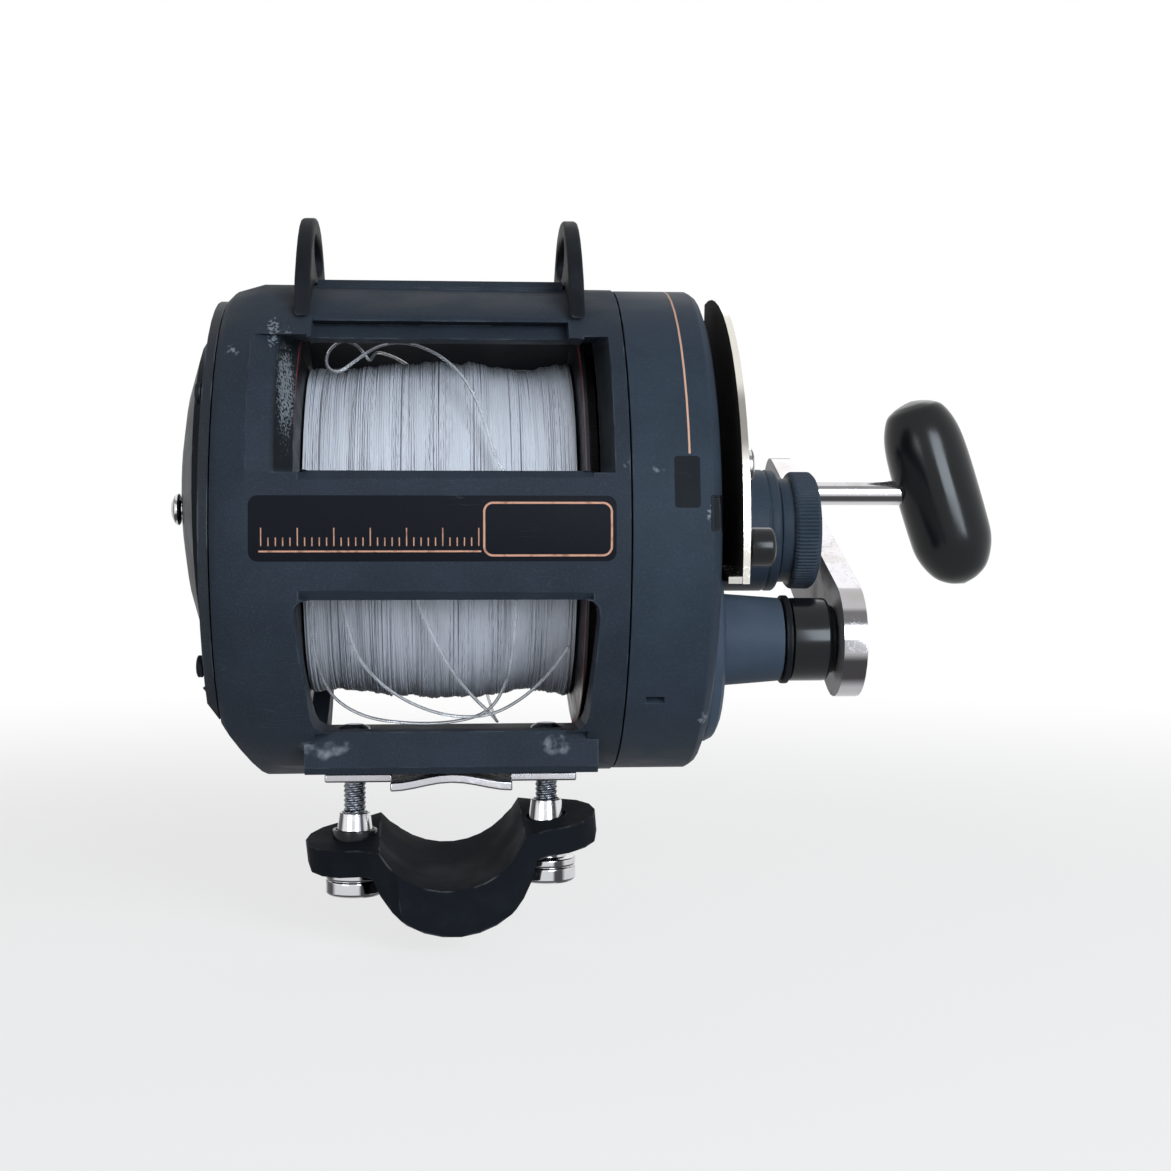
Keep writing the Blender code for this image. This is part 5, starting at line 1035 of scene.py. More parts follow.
@dataclass(frozen=True)
class Metal(Finish):
    """Bare or plated metal: stains, fine scratches, faint waves, painted reflection in dark bands by the way
    its surface faces, and painted shade on the side that faces the housing.

    Args:
        stain: colour of the stains.
        stained: how much of it shows.
        brushed: stretch of the scratches along X, Y and Z.
        waviness: strength of the waves.
        painted_reflection: colour of the painted dark reflection where the surface turns down, up or
            sideways.
        painted_reflection_share: how much of that painted reflection shows.
        painted_shade_side: how dark the painted shade is on the side that faces the housing.
        specular: strength of the mirror reflection of that side.
    """

    stain: Colour = (0.42, 0.38, 0.34)
    stained: float = 0.35
    brushed: Triple = (400.0, 400.0, 400.0)
    waviness: float = 0.12
    painted_reflection: Colour = (0.035, 0.032, 0.036)
    painted_reflection_share: float = 0.94
    painted_shade_side: float = 0.0
    specular: float = 0.06

    def turns(self, pen: Pen) -> tuple[NodeSocket, NodeSocket]:
        """Painted reflection bands by the way that the surface faces: below level, above it, to the right,
        and the far left.

        Args:
            pen: the pen on its material.

        Returns:
            How much painted reflection shows, and how much painted shade lies on the side that faces the
            housing.
        """
        across, _, up = pen.parts(pen.add("ShaderNodeTexCoord").outputs["Normal"])
        # Painted reflection: dark bands where the surface faces below level, above it, to the right or to the
        # far left, as a mirror would show dark surroundings.
        below = pen.times(pen.ramp(up, -0.16, -0.34), pen.ramp(up, -0.82, -0.62))
        right = pen.times(pen.ramp(across, 0.14, 0.26), pen.ramp(across, 0.62, 0.46))
        left = pen.times(pen.ramp(across, -0.6, -0.76), pen.ramp(across, -0.98, -0.9))
        above = pen.times(pen.ramp(up, 0.26, 0.36), pen.ramp(up, 0.6, 0.5, 0.0, 0.75))
        # Painted shade: the side that faces the housing is darkened, made duller and less metallic, standing
        # in for the dark housing reflected in it.
        side_shade = pen.times(pen.ramp(across, -0.5, -0.8), self.painted_shade_side)
        return pen.most(pen.times(pen.most(below, above, right, left), self.painted_reflection_share), side_shade), side_shade

    def paint(self, pen: Pen, sockets: bpy.types.NodeInputs) -> None:
        """Stained in slow patches, duller where it is scratched, darker where the painted reflection and the
        painted side shade are.

        Args:
            pen: the pen on the material.
            sockets: the shader's inputs.
        """
        place = pen.place()
        patch = pen.ramp(pen.noise(place, 130.0, 5.0), 0.5, 0.75)
        stretch = self.brushed
        lines = pen.group(Effects.scratches(), Vector=place, Stretch=stretch, Width=0.03, Presence=0.42)[0]
        speck = pen.ramp(pen.noise(place, 1400.0, 3.0), 0.66, 0.74)
        stains = pen.times(pen.most(patch, speck), self.stained)
        base = pen.mix(stains, self.colour, self.stain)
        # The painted reflection bands and the painted side shade darken the base colour.
        painted_reflection, side_shade = self.turns(pen)
        pen.feed(sockets["Base Color"], pen.mix(painted_reflection, base, self.painted_reflection))
        pen.feed(sockets["Metallic"], pen.math("SUBTRACT", 1.0, side_shade))
        sockets["Specular IOR Level"].default_value = self.specular
        marks = pen.math("ADD", pen.times(stains, 0.3), pen.times(lines, 0.18))
        rough = pen.math("ADD", marks, pen.times(side_shade, 0.5))
        pen.feed(sockets["Roughness"], pen.math("ADD", rough, self.roughness))
        pen.feed(sockets["Normal"], pen.bump(pen.noise(place, 110.0, 2.0), self.waviness, 0.3 * MM))


@dataclass(frozen=True)
class RingedAlloy(Finish):
    """Black anodised alloy of the spool, with the thin red ring painted near each flange's rim.

    Args:
        ring: colour of the ring.
        ring_radius: its radius.
        ring_half: half its width.
        bare: colour of its rubbed edges.
        mark_pitch: from one turned mark to the next.
    """

    ring: Colour = (0.44, 0.045, 0.05)
    ring_radius: float = 36.5 * MM
    ring_half: float = 0.3 * MM
    bare: Colour = (0.35, 0.35, 0.36)
    mark_pitch: float = 0.12 * MM

    def paint(self, pen: Pen, sockets: bpy.types.NodeInputs) -> None:
        """Turned marks run round the axis; the ring is where the distance from the axis is right.

        Args:
            pen: the pen on the material.
            sockets: the shader's inputs.
        """
        place = pen.place()
        _, depth, up = pen.parts(place)
        sides = (depth, pen.math("SUBTRACT", up, AXIS_HEIGHT))
        radius = pen.math("SQRT", pen.math("ADD", *(pen.math("POWER", side, 2.0) for side in sides)))
        ring = pen.ramp(pen.away(radius, self.ring_radius), self.ring_half, self.ring_half * 0.6)
        edge = pen.group(Effects.edge_wear(), Vector=place, Radius=0.3 * MM, Amount=0.6)[0]
        base = pen.mix(edge, self.colour, self.bare)
        pen.feed(sockets["Base Color"], pen.mix(ring, base, self.ring))
        pen.feed(sockets["Metallic"], pen.times(pen.math("SUBTRACT", 1.0, ring), 0.5))
        pen.feed(sockets["Roughness"], pen.ramp(pen.noise(place, 200.0, 3.0), 0.3, 0.7, 0.3, 0.46))
        marks = pen.math("SINE", pen.times(radius, 2 * math.pi / self.mark_pitch))
        pen.feed(sockets["Normal"], pen.bump(marks, 0.1, 0.01 * MM))


@dataclass(frozen=True)
class WoundNylon(Finish):
    """Pale clear line wound tight: fine turns side by side, whiter and greyer in bands.

    Args:
        shade: colour of the greyer bands.
        pitch: from one turn to the next.
        ridged: whether the turns' ridges are bumps.
        specular: strength of its mirror reflection.
    """

    shade: Colour = (0.44, 0.46, 0.50)
    pitch: float = 0.42 * MM
    ridged: bool = True
    specular: float = 0.45

    def paint(self, pen: Pen, sockets: bpy.types.NodeInputs) -> None:
        """Bands along X, from broad to as fine as one turn, with the turns' own ridges as bump.

        Args:
            pen: the pen on the material.
            sockets: the shader's inputs.
        """
        place = pen.place()
        wander = pen.times(pen.math("SUBTRACT", pen.noise(place, 60.0, 3.0), 0.5), 3.0 * self.pitch)
        across = pen.math("ADD", pen.parts(place)[0], wander)
        band = pen.add("ShaderNodeCombineXYZ")
        pen.feed(band.inputs[0], across)
        broad = pen.noise(band.outputs[0], 260.0, 5.0)
        fine = pen.noise(pen.vector("MULTIPLY", place, (1.0, 0.05, 0.05)), 2600.0, 3.0)
        level = pen.math("ADD", pen.times(broad, 0.6), pen.times(fine, 0.4))
        pen.feed(sockets["Base Color"], pen.mix(pen.ramp(level, 0.32, 0.62), self.shade, self.colour))
        pen.feed(sockets["Roughness"], pen.ramp(fine, 0.3, 0.7, self.roughness, self.roughness + 0.2))
        sockets["Specular IOR Level"].default_value = self.specular
        if self.ridged:
            turn = pen.math("SINE", pen.times(across, 2 * math.pi / self.pitch))
            height = pen.math("ADD", pen.times(turn, 0.5), pen.times(fine, 0.8))
            pen.feed(sockets["Normal"], pen.bump(height, 0.5, 0.1 * MM))


@dataclass(frozen=True)
class ClearNylon(Finish):
    """One clear strand of line.

    Args:
        clearness: how much light goes through it.
        bending: its index of refraction.
    """

    clearness: float = 0.55
    bending: float = 1.5

    def paint(self, pen: Pen, sockets: bpy.types.NodeInputs) -> None:
        """Milky where it is stressed.

        Args:
            pen: the pen on the material.
            sockets: the shader's inputs.
        """
        milky = pen.ramp(pen.noise(pen.place(), 220.0, 3.0), 0.35, 0.65)
        pen.feed(sockets["Base Color"], pen.mix(milky, self.colour, self.tinted(1.15)))
        sockets["Transmission Weight"].default_value = self.clearness
        sockets["IOR"].default_value = self.bending
        pen.feed(sockets["Roughness"], pen.ramp(milky, 0.0, 1.0, self.roughness, self.roughness + 0.1))


@dataclass(frozen=True)
class Woven(Finish):
    """Woven fibre of the drag disc.

    Args:
        thread: from one thread to the next but one.
    """

    thread: float = 1.1 * MM

    def paint(self, pen: Pen, sockets: bpy.types.NodeInputs) -> None:
        """Two crossed sets of threads, over and under each other.

        Args:
            pen: the pen on the material.
            sockets: the shader's inputs.
        """
        _, depth, up = pen.parts(pen.place())
        turn = 2 * math.pi / self.thread
        weave = pen.times(*(pen.math("SINE", pen.times(side, turn)) for side in (depth, up)))
        pen.feed(sockets["Base Color"], pen.mix(pen.ramp(weave, -0.4, 0.6), self.colour, self.tinted(1.5)))
        sockets["Roughness"].default_value = self.roughness
        pen.feed(sockets["Normal"], pen.bump(weave, 0.5, 0.1 * MM))


# The frame, the housing and the gear cover are one graphite composite in three copies whose brightness
# differs as painted light and shade: the gear cover's copy is the lightest, for the light that falls on it.
FRAME_GRAPHITE = PrintedFrame("frame graphite", "graphite", (0.023, 0.030, 0.041), 0.58)
HOUSING_GRAPHITE = PrintedHousing("housing graphite", "graphite", (0.028, 0.038, 0.053), 0.55)
LIT_GRAPHITE = Moulded("lit graphite", "graphite", (0.052, 0.070, 0.097), 0.5)
CAP_GRAPHITE = Moulded("cap graphite", "graphite_dark", (0.021, 0.024, 0.029), 0.45, wear=0.7, specular=0.1)
DARK_GRAPHITE = Moulded("dark graphite", "graphite_dark", (0.028, 0.039, 0.055), 0.42, wear=0.3)
GLOSS_BLACK = Polished("gloss black", "gloss_black", (0.005, 0.006, 0.007), 0.17)
COATED_BLACK = Coated("coated black", "satin_black", (0.009, 0.010, 0.012), 0.5, specular=0.05)
SADDLE_BLACK = Coated("saddle black", "satin_black", (0.009, 0.011, 0.014), 0.62, wear=0.6, specular=0.03)
# Each metal below carries painted reflection bands by the way its surface faces; the arm and the lever also
# carry painted shade on the side that faces the housing.
CHROME = Metal("chrome plate", "chrome", (0.74, 0.74, 0.76), 0.11)
FOOT_CHROME = Metal("foot chrome", "chrome", (0.55, 0.54, 0.57), 0.26, stained=0.7, waviness=0.5)
ARM_CHROME = Metal("arm chrome", "chrome", (0.50, 0.49, 0.51), 0.14, painted_shade_side=0.55)
LEVER_CHROME = Metal(
    "lever chrome",
    "chrome",
    (0.80, 0.77, 0.71),
    0.16,
    stained=0.14,
    waviness=0.05,
    painted_reflection=(0.02, 0.018, 0.017),
    painted_reflection_share=0.8,
    painted_shade_side=1.0,
)
ZINC = Metal("zinc plate", "zinc", (0.42, 0.46, 0.52), 0.3, stained=0.5, painted_reflection_share=0.6)
STEEL = Metal("machined steel", "steel", (0.50, 0.51, 0.53), 0.26, painted_reflection_share=0.5)
BRASS = Metal("machined brass", "brass", (0.72, 0.52, 0.22), 0.26, stain=(0.36, 0.22, 0.08), painted_reflection_share=0.3)
SPOOL_ALLOY = RingedAlloy("spool alloy", "black_alloy", (0.012, 0.013, 0.015), 0.35)
BLACK_ALLOY = Coated("anodised alloy", "black_alloy", (0.02, 0.021, 0.024), 0.35)
PACKED_LINE = WoundNylon("packed line", "line", (0.58, 0.59, 0.64), 0.42, shade=(0.50, 0.51, 0.54))
TURNED_LINE = WoundNylon(
    "top turns", "line", (0.60, 0.61, 0.66), 0.38, shade=(0.53, 0.54, 0.58), ridged=False
)
LOOSE_NYLON = ClearNylon("loose line", "line", (0.80, 0.81, 0.83), 0.06, clearness=0.8)
FIBRE = Woven("woven fibre", "fibre", (0.020, 0.018, 0.017), 0.85)

NODE_FINISHES: dict[str, Finish] = {
    "graphite": LIT_GRAPHITE,
    "graphite_dark": DARK_GRAPHITE,
    "gloss_black": GLOSS_BLACK,
    "satin_black": COATED_BLACK,
    "chrome": CHROME,
    "zinc": ZINC,
    "steel": STEEL,
    "brass": BRASS,
    "black_alloy": BLACK_ALLOY,
    "line": PACKED_LINE,
    "fibre": FIBRE,
}


def stand_in(item: Object, node: str, finish: Finish, body: str) -> Object:
    """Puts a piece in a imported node's place, with its finish and on its body.

    Args:
        item: the piece.
        node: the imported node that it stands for.
        finish: its finish.
        body: the body that it rides on.

    Returns:
        The piece.
    """
    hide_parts(node)
    finish.dress(item)
    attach(item, body)
    return item


# --- Camera, light and floor ------------------------------------------------------------------------------


@dataclass(frozen=True)
class Studio:
    """The camera behind the reel, soft lamps and a white floor.

    Args:
        distance: from the spool axis to the camera.
        focal_pixels: focal length in the frame's pixels.
        frame_pixels: the frame's width in pixels.
        sensor: the camera's sensor in mm.
        yaw: how far the camera is turned to the right, in degrees.
        pitch: how far it looks down, in degrees.
        ambient: light that the white surroundings give from the sides.
        overhead: light that they give from above.
        aim: what the lamps face.
        lamps: each lamp's name, place, size, watts and colour.
        floor_half: half the floor's width.
        floor_drop: how far it lies below the reel.
        floor_shade: its colour as it lights the reel.
        floor_white: its colour as the camera and reflections see it.
    """

    distance: float = 356.4 * MM
    focal_pixels: float = 1860.0
    frame_pixels: float = 1171.0
    sensor: float = 36.0
    yaw: float = 4.46
    pitch: float = 1.70
    ambient: float = 0.44
    overhead: float = 0.14
    aim: Triple = (0.02, 0.0, 0.04)
    lamps: tuple[tuple[str, Triple, float, float, Colour], ...] = (
        ("key", (0.42, -0.88, 0.26), 0.50, 9.2, (0.80, 0.90, 1.0)),
        ("fill", (-0.55, -0.75, 0.04), 0.40, 2.0, (0.82, 0.91, 1.0)),
        ("rim", (0.20, 0.80, 0.65), 0.40, 0.4, WHITE),
    )
    floor_half: float = 4.0
    floor_drop: float = 4.4 * MM
    floor_shade: Colour = (0.46, 0.46, 0.47)
    floor_white: Colour = (0.86, 0.86, 0.86)

    def camera(self) -> None:
        """A level camera at the spool axis' height, turned a little right and down."""
        data = bpy.data.cameras.new("camera")
        data.sensor_width = self.sensor
        data.lens = self.focal_pixels / self.frame_pixels * self.sensor
        data.clip_start = 10 * MM
        item = linked("camera", data)
        item.location = (0, -self.distance, Span.of("spool").centre[2])
        item.rotation_euler = (math.radians(90 - self.pitch), 0, math.radians(-self.yaw))
        bpy.context.scene.camera = item

    def lamp(self, name: str, place: Triple, size: float, watts: float, colour: Colour) -> Light:
        """A square lamp that faces the reel's middle.

        Args:
            name: its name.
            place: where it stands.
            size: its edge.
            watts: its power.
            colour: its colour.

        Returns:
            The lamp.
        """
        data = bpy.data.lights.new(name, "AREA")
        data.size = size
        data.energy = watts
        data.color = colour
        item = linked(name, data)
        item.location = place
        item.rotation_euler = (Vector(self.aim) - Vector(place)).to_track_quat("-Z", "Y").to_euler()
        return data

    def world(self) -> None:
        """White to the camera and in reflections, and weaker as a light."""
        world = bpy.data.worlds.new("surroundings")
        pen = Pen.on(world)
        rays = pen.add("ShaderNodeLightPath").outputs
        shown = pen.most(rays["Is Camera Ray"], rays["Is Transmission Ray"], rays["Is Glossy Ray"])
        height = pen.parts(pen.add("ShaderNodeTexCoord").outputs["Generated"])[2]
        level = pen.ramp(height, 0.1, 0.9, self.ambient, self.overhead)
        background = pen.add("ShaderNodeBackground")
        pen.feed(background.inputs["Color"], WHITE)
        pen.feed(background.inputs["Strength"], pen.ramp(shown, 0.0, 1.0, level, 1.0))
        pen.feed(pen.add("ShaderNodeOutputWorld").inputs["Surface"], background.outputs[0])
        bpy.context.scene.world = world

    def floor(self) -> None:
        """A white floor, just below the clamp's lowest place, that keeps the reel's shadow and fades out."""
        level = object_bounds()[0][2] - self.floor_drop
        half = np.linspace(-self.floor_half, self.floor_half, 9)
        across, along = np.meshgrid(half, half, indexing="ij")
        item = surface("floor", np.stack([across, along, np.full_like(across, level)], -1), False, False)
        material = bpy.data.materials.new("white floor")
        pen = Pen.on(material)
        glow = pen.add("ShaderNodeEmission")
        pen.feed(glow.inputs["Color"], WHITE)
        rays = pen.add("ShaderNodeLightPath").outputs
        shown = pen.most(rays["Is Camera Ray"], rays["Is Glossy Ray"])
        matt = pen.add("ShaderNodeBsdfDiffuse")
        pen.feed(matt.inputs["Color"], pen.mix(shown, self.floor_shade, self.floor_white))
        far = pen.ramp(pen.vector("LENGTH", pen.place()), 0.12, 0.6, 0.72, 1.0)
        blend = pen.add("ShaderNodeMixShader")
        pen.feed(blend.inputs[0], pen.times(shown, far))
        pen.feed(blend.inputs[1], matt.outputs[0])
        pen.feed(blend.inputs[2], glow.outputs[0])
        pen.feed(pen.add("ShaderNodeOutputMaterial").inputs["Surface"], blend.outputs[0])
        item.data.materials.append(material)
        item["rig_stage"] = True

    def build(self) -> None:
        """The camera, the lamps, the surroundings and the floor."""
        self.camera()
        for lamp in self.lamps:
            self.lamp(*lamp)
        self.world()
        self.floor()
        bpy.context.scene.view_settings.view_transform = "Standard"


# --- The line ---------------------------------------------------------------------------------------------


@dataclass(frozen=True)
class LooseLine:
    """The loops that stand off the pack: one limp length of clear line with a cut end.

    Args:
        diameter: the line's thickness.
        spacing: how far apart the curve's points are.
        draws: how often the points are drawn toward their neighbours.
        steps: points in each stretch of the route before they are spaced.
        route: points as (along X in mm, angle up from the rear in degrees, distance from the axis in mm).
    """

    diameter: float = 0.6 * MM
    spacing: float = 0.8 * MM
    draws: int = 3
    steps: int = 24
    route: tuple[Triple, ...] = (
        (19.0, 14.0, 33.1), (12.6, 15.0, 33.6), (9.6, 22.0, 34.6), (7.2, 36.0, 35.6),
        (4.4, 47.0, 36.4), (0.8, 56.0, 37.0), (-3.6, 62.5, 37.5), (-8.0, 65.0, 37.6),
        (-12.0, 62.5, 37.0), (-15.6, 57.0, 35.8), (-18.4, 53.5, 34.9), (-20.3, 57.0, 35.3),
        (-20.0, 62.5, 36.6), (-17.9, 66.0, 37.6), (-15.6, 64.9, 37.5), (-14.2, 62.0, 37.0),
        (-13.2, 60.6, 35.8), (-12.7, 62.4, 34.7), (-12.4, 67.4, 34.1), (-11.2, 84.0, 33.6),
        (-6.0, 108.0, 33.8), (2.0, 132.0, 34.2), (7.0, 156.0, 33.9), (8.4, 182.0, 33.6),
        (7.6, 208.0, 33.8), (8.4, 236.0, 34.8), (10.2, 262.0, 35.9), (10.6, 281.0, 36.6),
        (9.2, 293.5, 36.8), (5.6, 304.0, 36.0), (1.8, 315.0, 34.9), (-1.6, 328.0, 34.0),
        (-4.4, 341.0, 33.5), (-4.6, 353.0, 33.4), (-0.6, 361.0, 33.4), (5.4, 361.5, 33.4),
        (10.6, 354.5, 33.4), (13.0, 341.0, 33.5), (12.8, 324.0, 34.1), (11.6, 309.0, 35.3),
        (8.6, 295.5, 36.5), (2.6, 287.0, 37.1), (-6.0, 284.0, 37.0), (-14.0, 289.0, 36.2),
        (-19.6, 302.0, 35.0), (-22.0, 319.0, 34.1), (-22.2, 334.0, 33.6), (-22.0, 340.4, 33.5),
        (-20.9, 344.0, 33.5), (-19.4, 345.0, 33.5), (-17.9, 343.4, 33.5), (-17.0, 339.0, 33.5),
        (-16.3, 331.0, 33.7), (-14.2, 318.0, 34.3), (-9.4, 306.0, 35.3), (-3.4, 298.0, 36.6),
        (3.2, 293.6, 37.3), (9.4, 295.0, 37.1), (14.8, 303.0, 36.2), (19.2, 313.0, 35.2),
        (22.6, 323.5, 34.6),
    )

    def relaxed(self, path: np.ndarray) -> np.ndarray:
        """The path with points at an even spacing, each drawn toward its neighbours' middle a few times.

        Args:
            path: the path, one row a point.

        Returns:
            The points.
        """
        reach = np.insert(np.cumsum(np.linalg.norm(np.diff(path, axis=0), axis=1)), 0, 0.0)
        even = np.linspace(0.0, reach[-1], int(reach[-1] / self.spacing) + 1)
        points = np.stack([np.interp(even, reach, column) for column in path.T], axis=1)
        for _ in range(self.draws):
            points[1:-1] = (points[:-2] + 2 * points[1:-1] + points[2:]) / 4
        return points

    def build(self) -> Object:
        """A round curve through the route."""
        along, degrees, radius = np.array(self.route).T
        angle = np.radians(degrees)
        height = Span.of("spool").centre[2]
        up = height + radius * MM * np.sin(angle)
        places = np.stack([along * MM, -radius * MM * np.cos(angle), up], axis=1)
        path = self.relaxed(smooth_route(places, self.steps))
        data = bpy.data.curves.new("loose_loops", "CURVE")
        data.dimensions = "3D"
        data.bevel_depth = self.diameter / 2
        data.bevel_resolution = 3
        data.use_fill_caps = True
        spline = data.splines.new("POLY")
        spline.points.add(len(path) - 1)
        spline.points.foreach_set("co", np.hstack([path, np.ones((len(path), 1))]).ravel())
        spline.use_smooth = True
        item = stand_in(linked("loose_loops", data), "loose_line", LOOSE_NYLON, "line_spool")
        return item


@dataclass(frozen=True)
class LinePack:
    """The wound line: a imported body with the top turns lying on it.

    Args:
        half_width: half the pack's width.
        arbor: radius of its inside.
        radius: mean radius of its outside.
        turns: turns of the top strand.
        passes: how often the top strand crosses the spool.
        strand: the strand's radius.
        flatness: how thick the strand is pressed, as a share of its width.
        turn_steps: points of the strand in each turn.
        margin: how far inside the pack's ends the strand stays.
        columns: points of the body along the pack.
        wall_rows: points of the body up each end.
        heights: the pack's radius along it, as (along X, radius) in mm.
    """

    half_width: float = 24.0 * MM
    arbor: float = 18.3 * MM
    radius: float = 30.6 * MM
    turns: int = 330
    passes: int = 3
    strand: float = 0.2 * MM
    flatness: float = 0.6
    turn_steps: int = 48
    margin: float = 0.75 * MM
    columns: int = 150
    wall_rows: int = 4
    heights: tuple[tuple[float, float], ...] = (
        (-24.0, 30.3), (-20.2, 30.1), (-15.6, 30.3), (-11.8, 31.0), (-5.7, 31.4), (0.6, 31.8), (4.6, 31.4),
        (6.7, 31.7), (10.9, 30.9), (15.0, 30.3), (19.0, 30.6), (22.6, 31.5), (24.0, 31.6),
    )

    def outside(self, along: np.ndarray, angle: np.ndarray) -> np.ndarray:
        """The pack's radius: the heights carried smoothly along it, plus waves that wander round it.

        Args:
            along: the place along X.
            angle: the angle round the axis.

        Returns:
            The radius at each place.
        """
        place, height = smooth_route(np.array(self.heights), 6).T
        mean = np.interp(along / MM + 0.5 * np.sin(angle), place, height)
        waves = 0.14 * np.sin(0.9 * along / MM + 2 * angle) + 0.1 * np.sin(2.3 * along / MM - 3 * angle)
        return (mean + waves) * MM

    def body(self) -> Object:
        """A turned ring whose outer wall follows the pack's radius."""
        rows, half = self.wall_rows, self.half_width
        wall = np.linspace(self.arbor, self.radius - 1.2 * MM, rows)
        across = np.linspace(-half, half, self.columns)
        along = np.concatenate([np.full(rows, -half), across, np.full(rows, half)])
        radius = np.concatenate([wall, np.full(self.columns, self.radius), wall[::-1]])

        def relief(place: np.ndarray, mean: np.ndarray, angle: np.ndarray) -> np.ndarray:
            shaped = self.outside(place, angle) - self.radius
            return np.where(mean >= self.radius, shaped, 0.0)

        profile = np.stack([along, radius], axis=1)
        return turned("line_pack", profile, Span.of("spool").centre, closed=True, steps=144, relief=relief)

    def strands(self) -> Object:
        """One strand in a helix that crosses the spool and back, lying on the pack, with small slips."""
        height = Span.of("spool").centre[2]
        angle = np.linspace(0, 2 * math.pi * self.turns, self.turns * self.turn_steps)
        share = np.abs((angle / angle[-1] * self.passes) % 2 - 1) * 2 - 1
        slip = 0.22 * np.sin(0.37 * angle) + 0.2 * np.sin(0.071 * angle + 1) + 0.1 * np.sin(1.9 * angle)
        along = share * (self.half_width - self.margin) + slip * MM
        lift = self.strand * (0.25 + 0.25 * np.sin(0.83 * angle) + 0.2 * np.sin(0.129 * angle))
        radius = self.outside(along, angle) + lift
        radial = np.stack([np.zeros_like(angle), -np.cos(angle), np.sin(angle)], axis=1)
        middle = np.stack([along, np.zeros_like(along), np.full_like(along, height)], 1)
        path = radial * radius[:, None] + middle
        turn = np.linspace(0, 2 * math.pi, 4, endpoint=False)
        section = self.flatness * np.cos(turn)[None, :, None] * radial[:, None]
        section = section + np.sin(turn)[None, :, None] * np.array([1.0, 0.0, 0.0])
        points = path[:, None] + self.strand * section
        tips = np.repeat(path[[0, -1], None], 4, axis=1)
        points = np.concatenate([tips[:1], points, tips[1:]])
        return surface("top_turns", points, False, True, sharp=180.0)

    def build(self) -> list[Object]:
        """The pack and its top turns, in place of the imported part's thicker turns."""
        body = stand_in(self.body(), "line_core", PACKED_LINE, "line_spool")
        return [body, stand_in(self.strands(), "line_winding", TURNED_LINE, "line_spool")]


# --- Sub-assemblies ---------------------------------------------------------------------------------------


@dataclass(frozen=True)
class Softening:
    """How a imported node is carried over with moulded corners.

    Args:
        node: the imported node.
        name: the piece that stands for it.
        width: how wide its round corners are, in mm.
        finish: its finish.
        body: the body that it rides on.
        segments: faces across a round corner.
        flat: the angle in degrees up to which faces are joined into one.
        sharp: the angle in degrees past which an edge is rounded.
    """

    node: str
    name: str
    width: float
    finish: Finish
    body: str = "reel_body"
    segments: int = 3
    flat: float = 1.5
    sharp: float = 32.0

    def shape(self) -> Object:
        """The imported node's own shape, merged and bevelled round."""
        work = bmesh.new()
        work.from_mesh(bpy.data.objects[self.node].data)
        bmesh.ops.remove_doubles(work, verts=work.verts, dist=MERGED_PACKED)
        flat = math.radians(self.flat)
        bmesh.ops.dissolve_limit(work, angle_limit=flat, verts=work.verts, edges=work.edges)
        mesh = bpy.data.meshes.new(self.name)
        work.to_mesh(mesh)
        work.free()
        for layer in [a for a in mesh.attributes if a.name in ("custom_normal", "sharp_edge", "sharp_face")]:
            mesh.attributes.remove(layer)
        mesh.materials.clear()
        smoothed(mesh)
        item = linked(self.name, mesh)
        bevel = item.modifiers.new("round", "BEVEL")
        bevel.width = self.width * MM
        bevel.segments = self.segments
        bevel.limit_method = "ANGLE"
        bevel.angle_limit = math.radians(self.sharp)
        item.modifiers.new("even", "WEIGHTED_NORMAL").keep_sharp = True
        return item

    def build(self) -> Object:
        """The softened piece in its node's place."""
        return stand_in(self.shape(), self.node, self.finish, self.body)


@dataclass(frozen=True)
class Casings:
    """What is carried over: frame, covers, housing, lugs, foot, spacers, clamp, click stud, lever and arm.

    Args:
        pieces: the nodes with what stands for them.
    """

    pieces: tuple[Softening, ...] = (
        Softening("frame", "frame_casting", 0.55, FRAME_GRAPHITE),
        Softening("side_housing", "housing_drum", 0.5, HOUSING_GRAPHITE),
        Softening("gear_cover", "gear_case", 0.5, LIT_GRAPHITE),
        Softening("left_side_cover", "left_cap", 0.5, CAP_GRAPHITE),
        Softening("harness_lug_left", "left_lug", 0.6, COATED_BLACK),
        Softening("harness_lug_right", "right_lug", 0.6, COATED_BLACK),
        Softening("reel_foot", "foot_plate", 0.4, FOOT_CHROME),
        Softening("foot_spacer_left", "left_spacer", 0.3, COATED_BLACK),
        Softening("foot_spacer_right", "right_spacer", 0.3, COATED_BLACK),
        Softening("rod_clamp", "clamp_saddle", 0.7, SADDLE_BLACK, "clamp"),
        Softening("click_button", "click_stud", 0.35, CHROME, "clicker"),
        Softening("drag_lever", "lever_plate", 0.35, LEVER_CHROME, "lever"),
        Softening("handle_arm", "crank_arm", 1.3, ARM_CHROME, "crank"),
    )

    def build(self) -> list[Object]:
        """All the softened pieces."""
        return [piece.build() for piece in self.pieces]


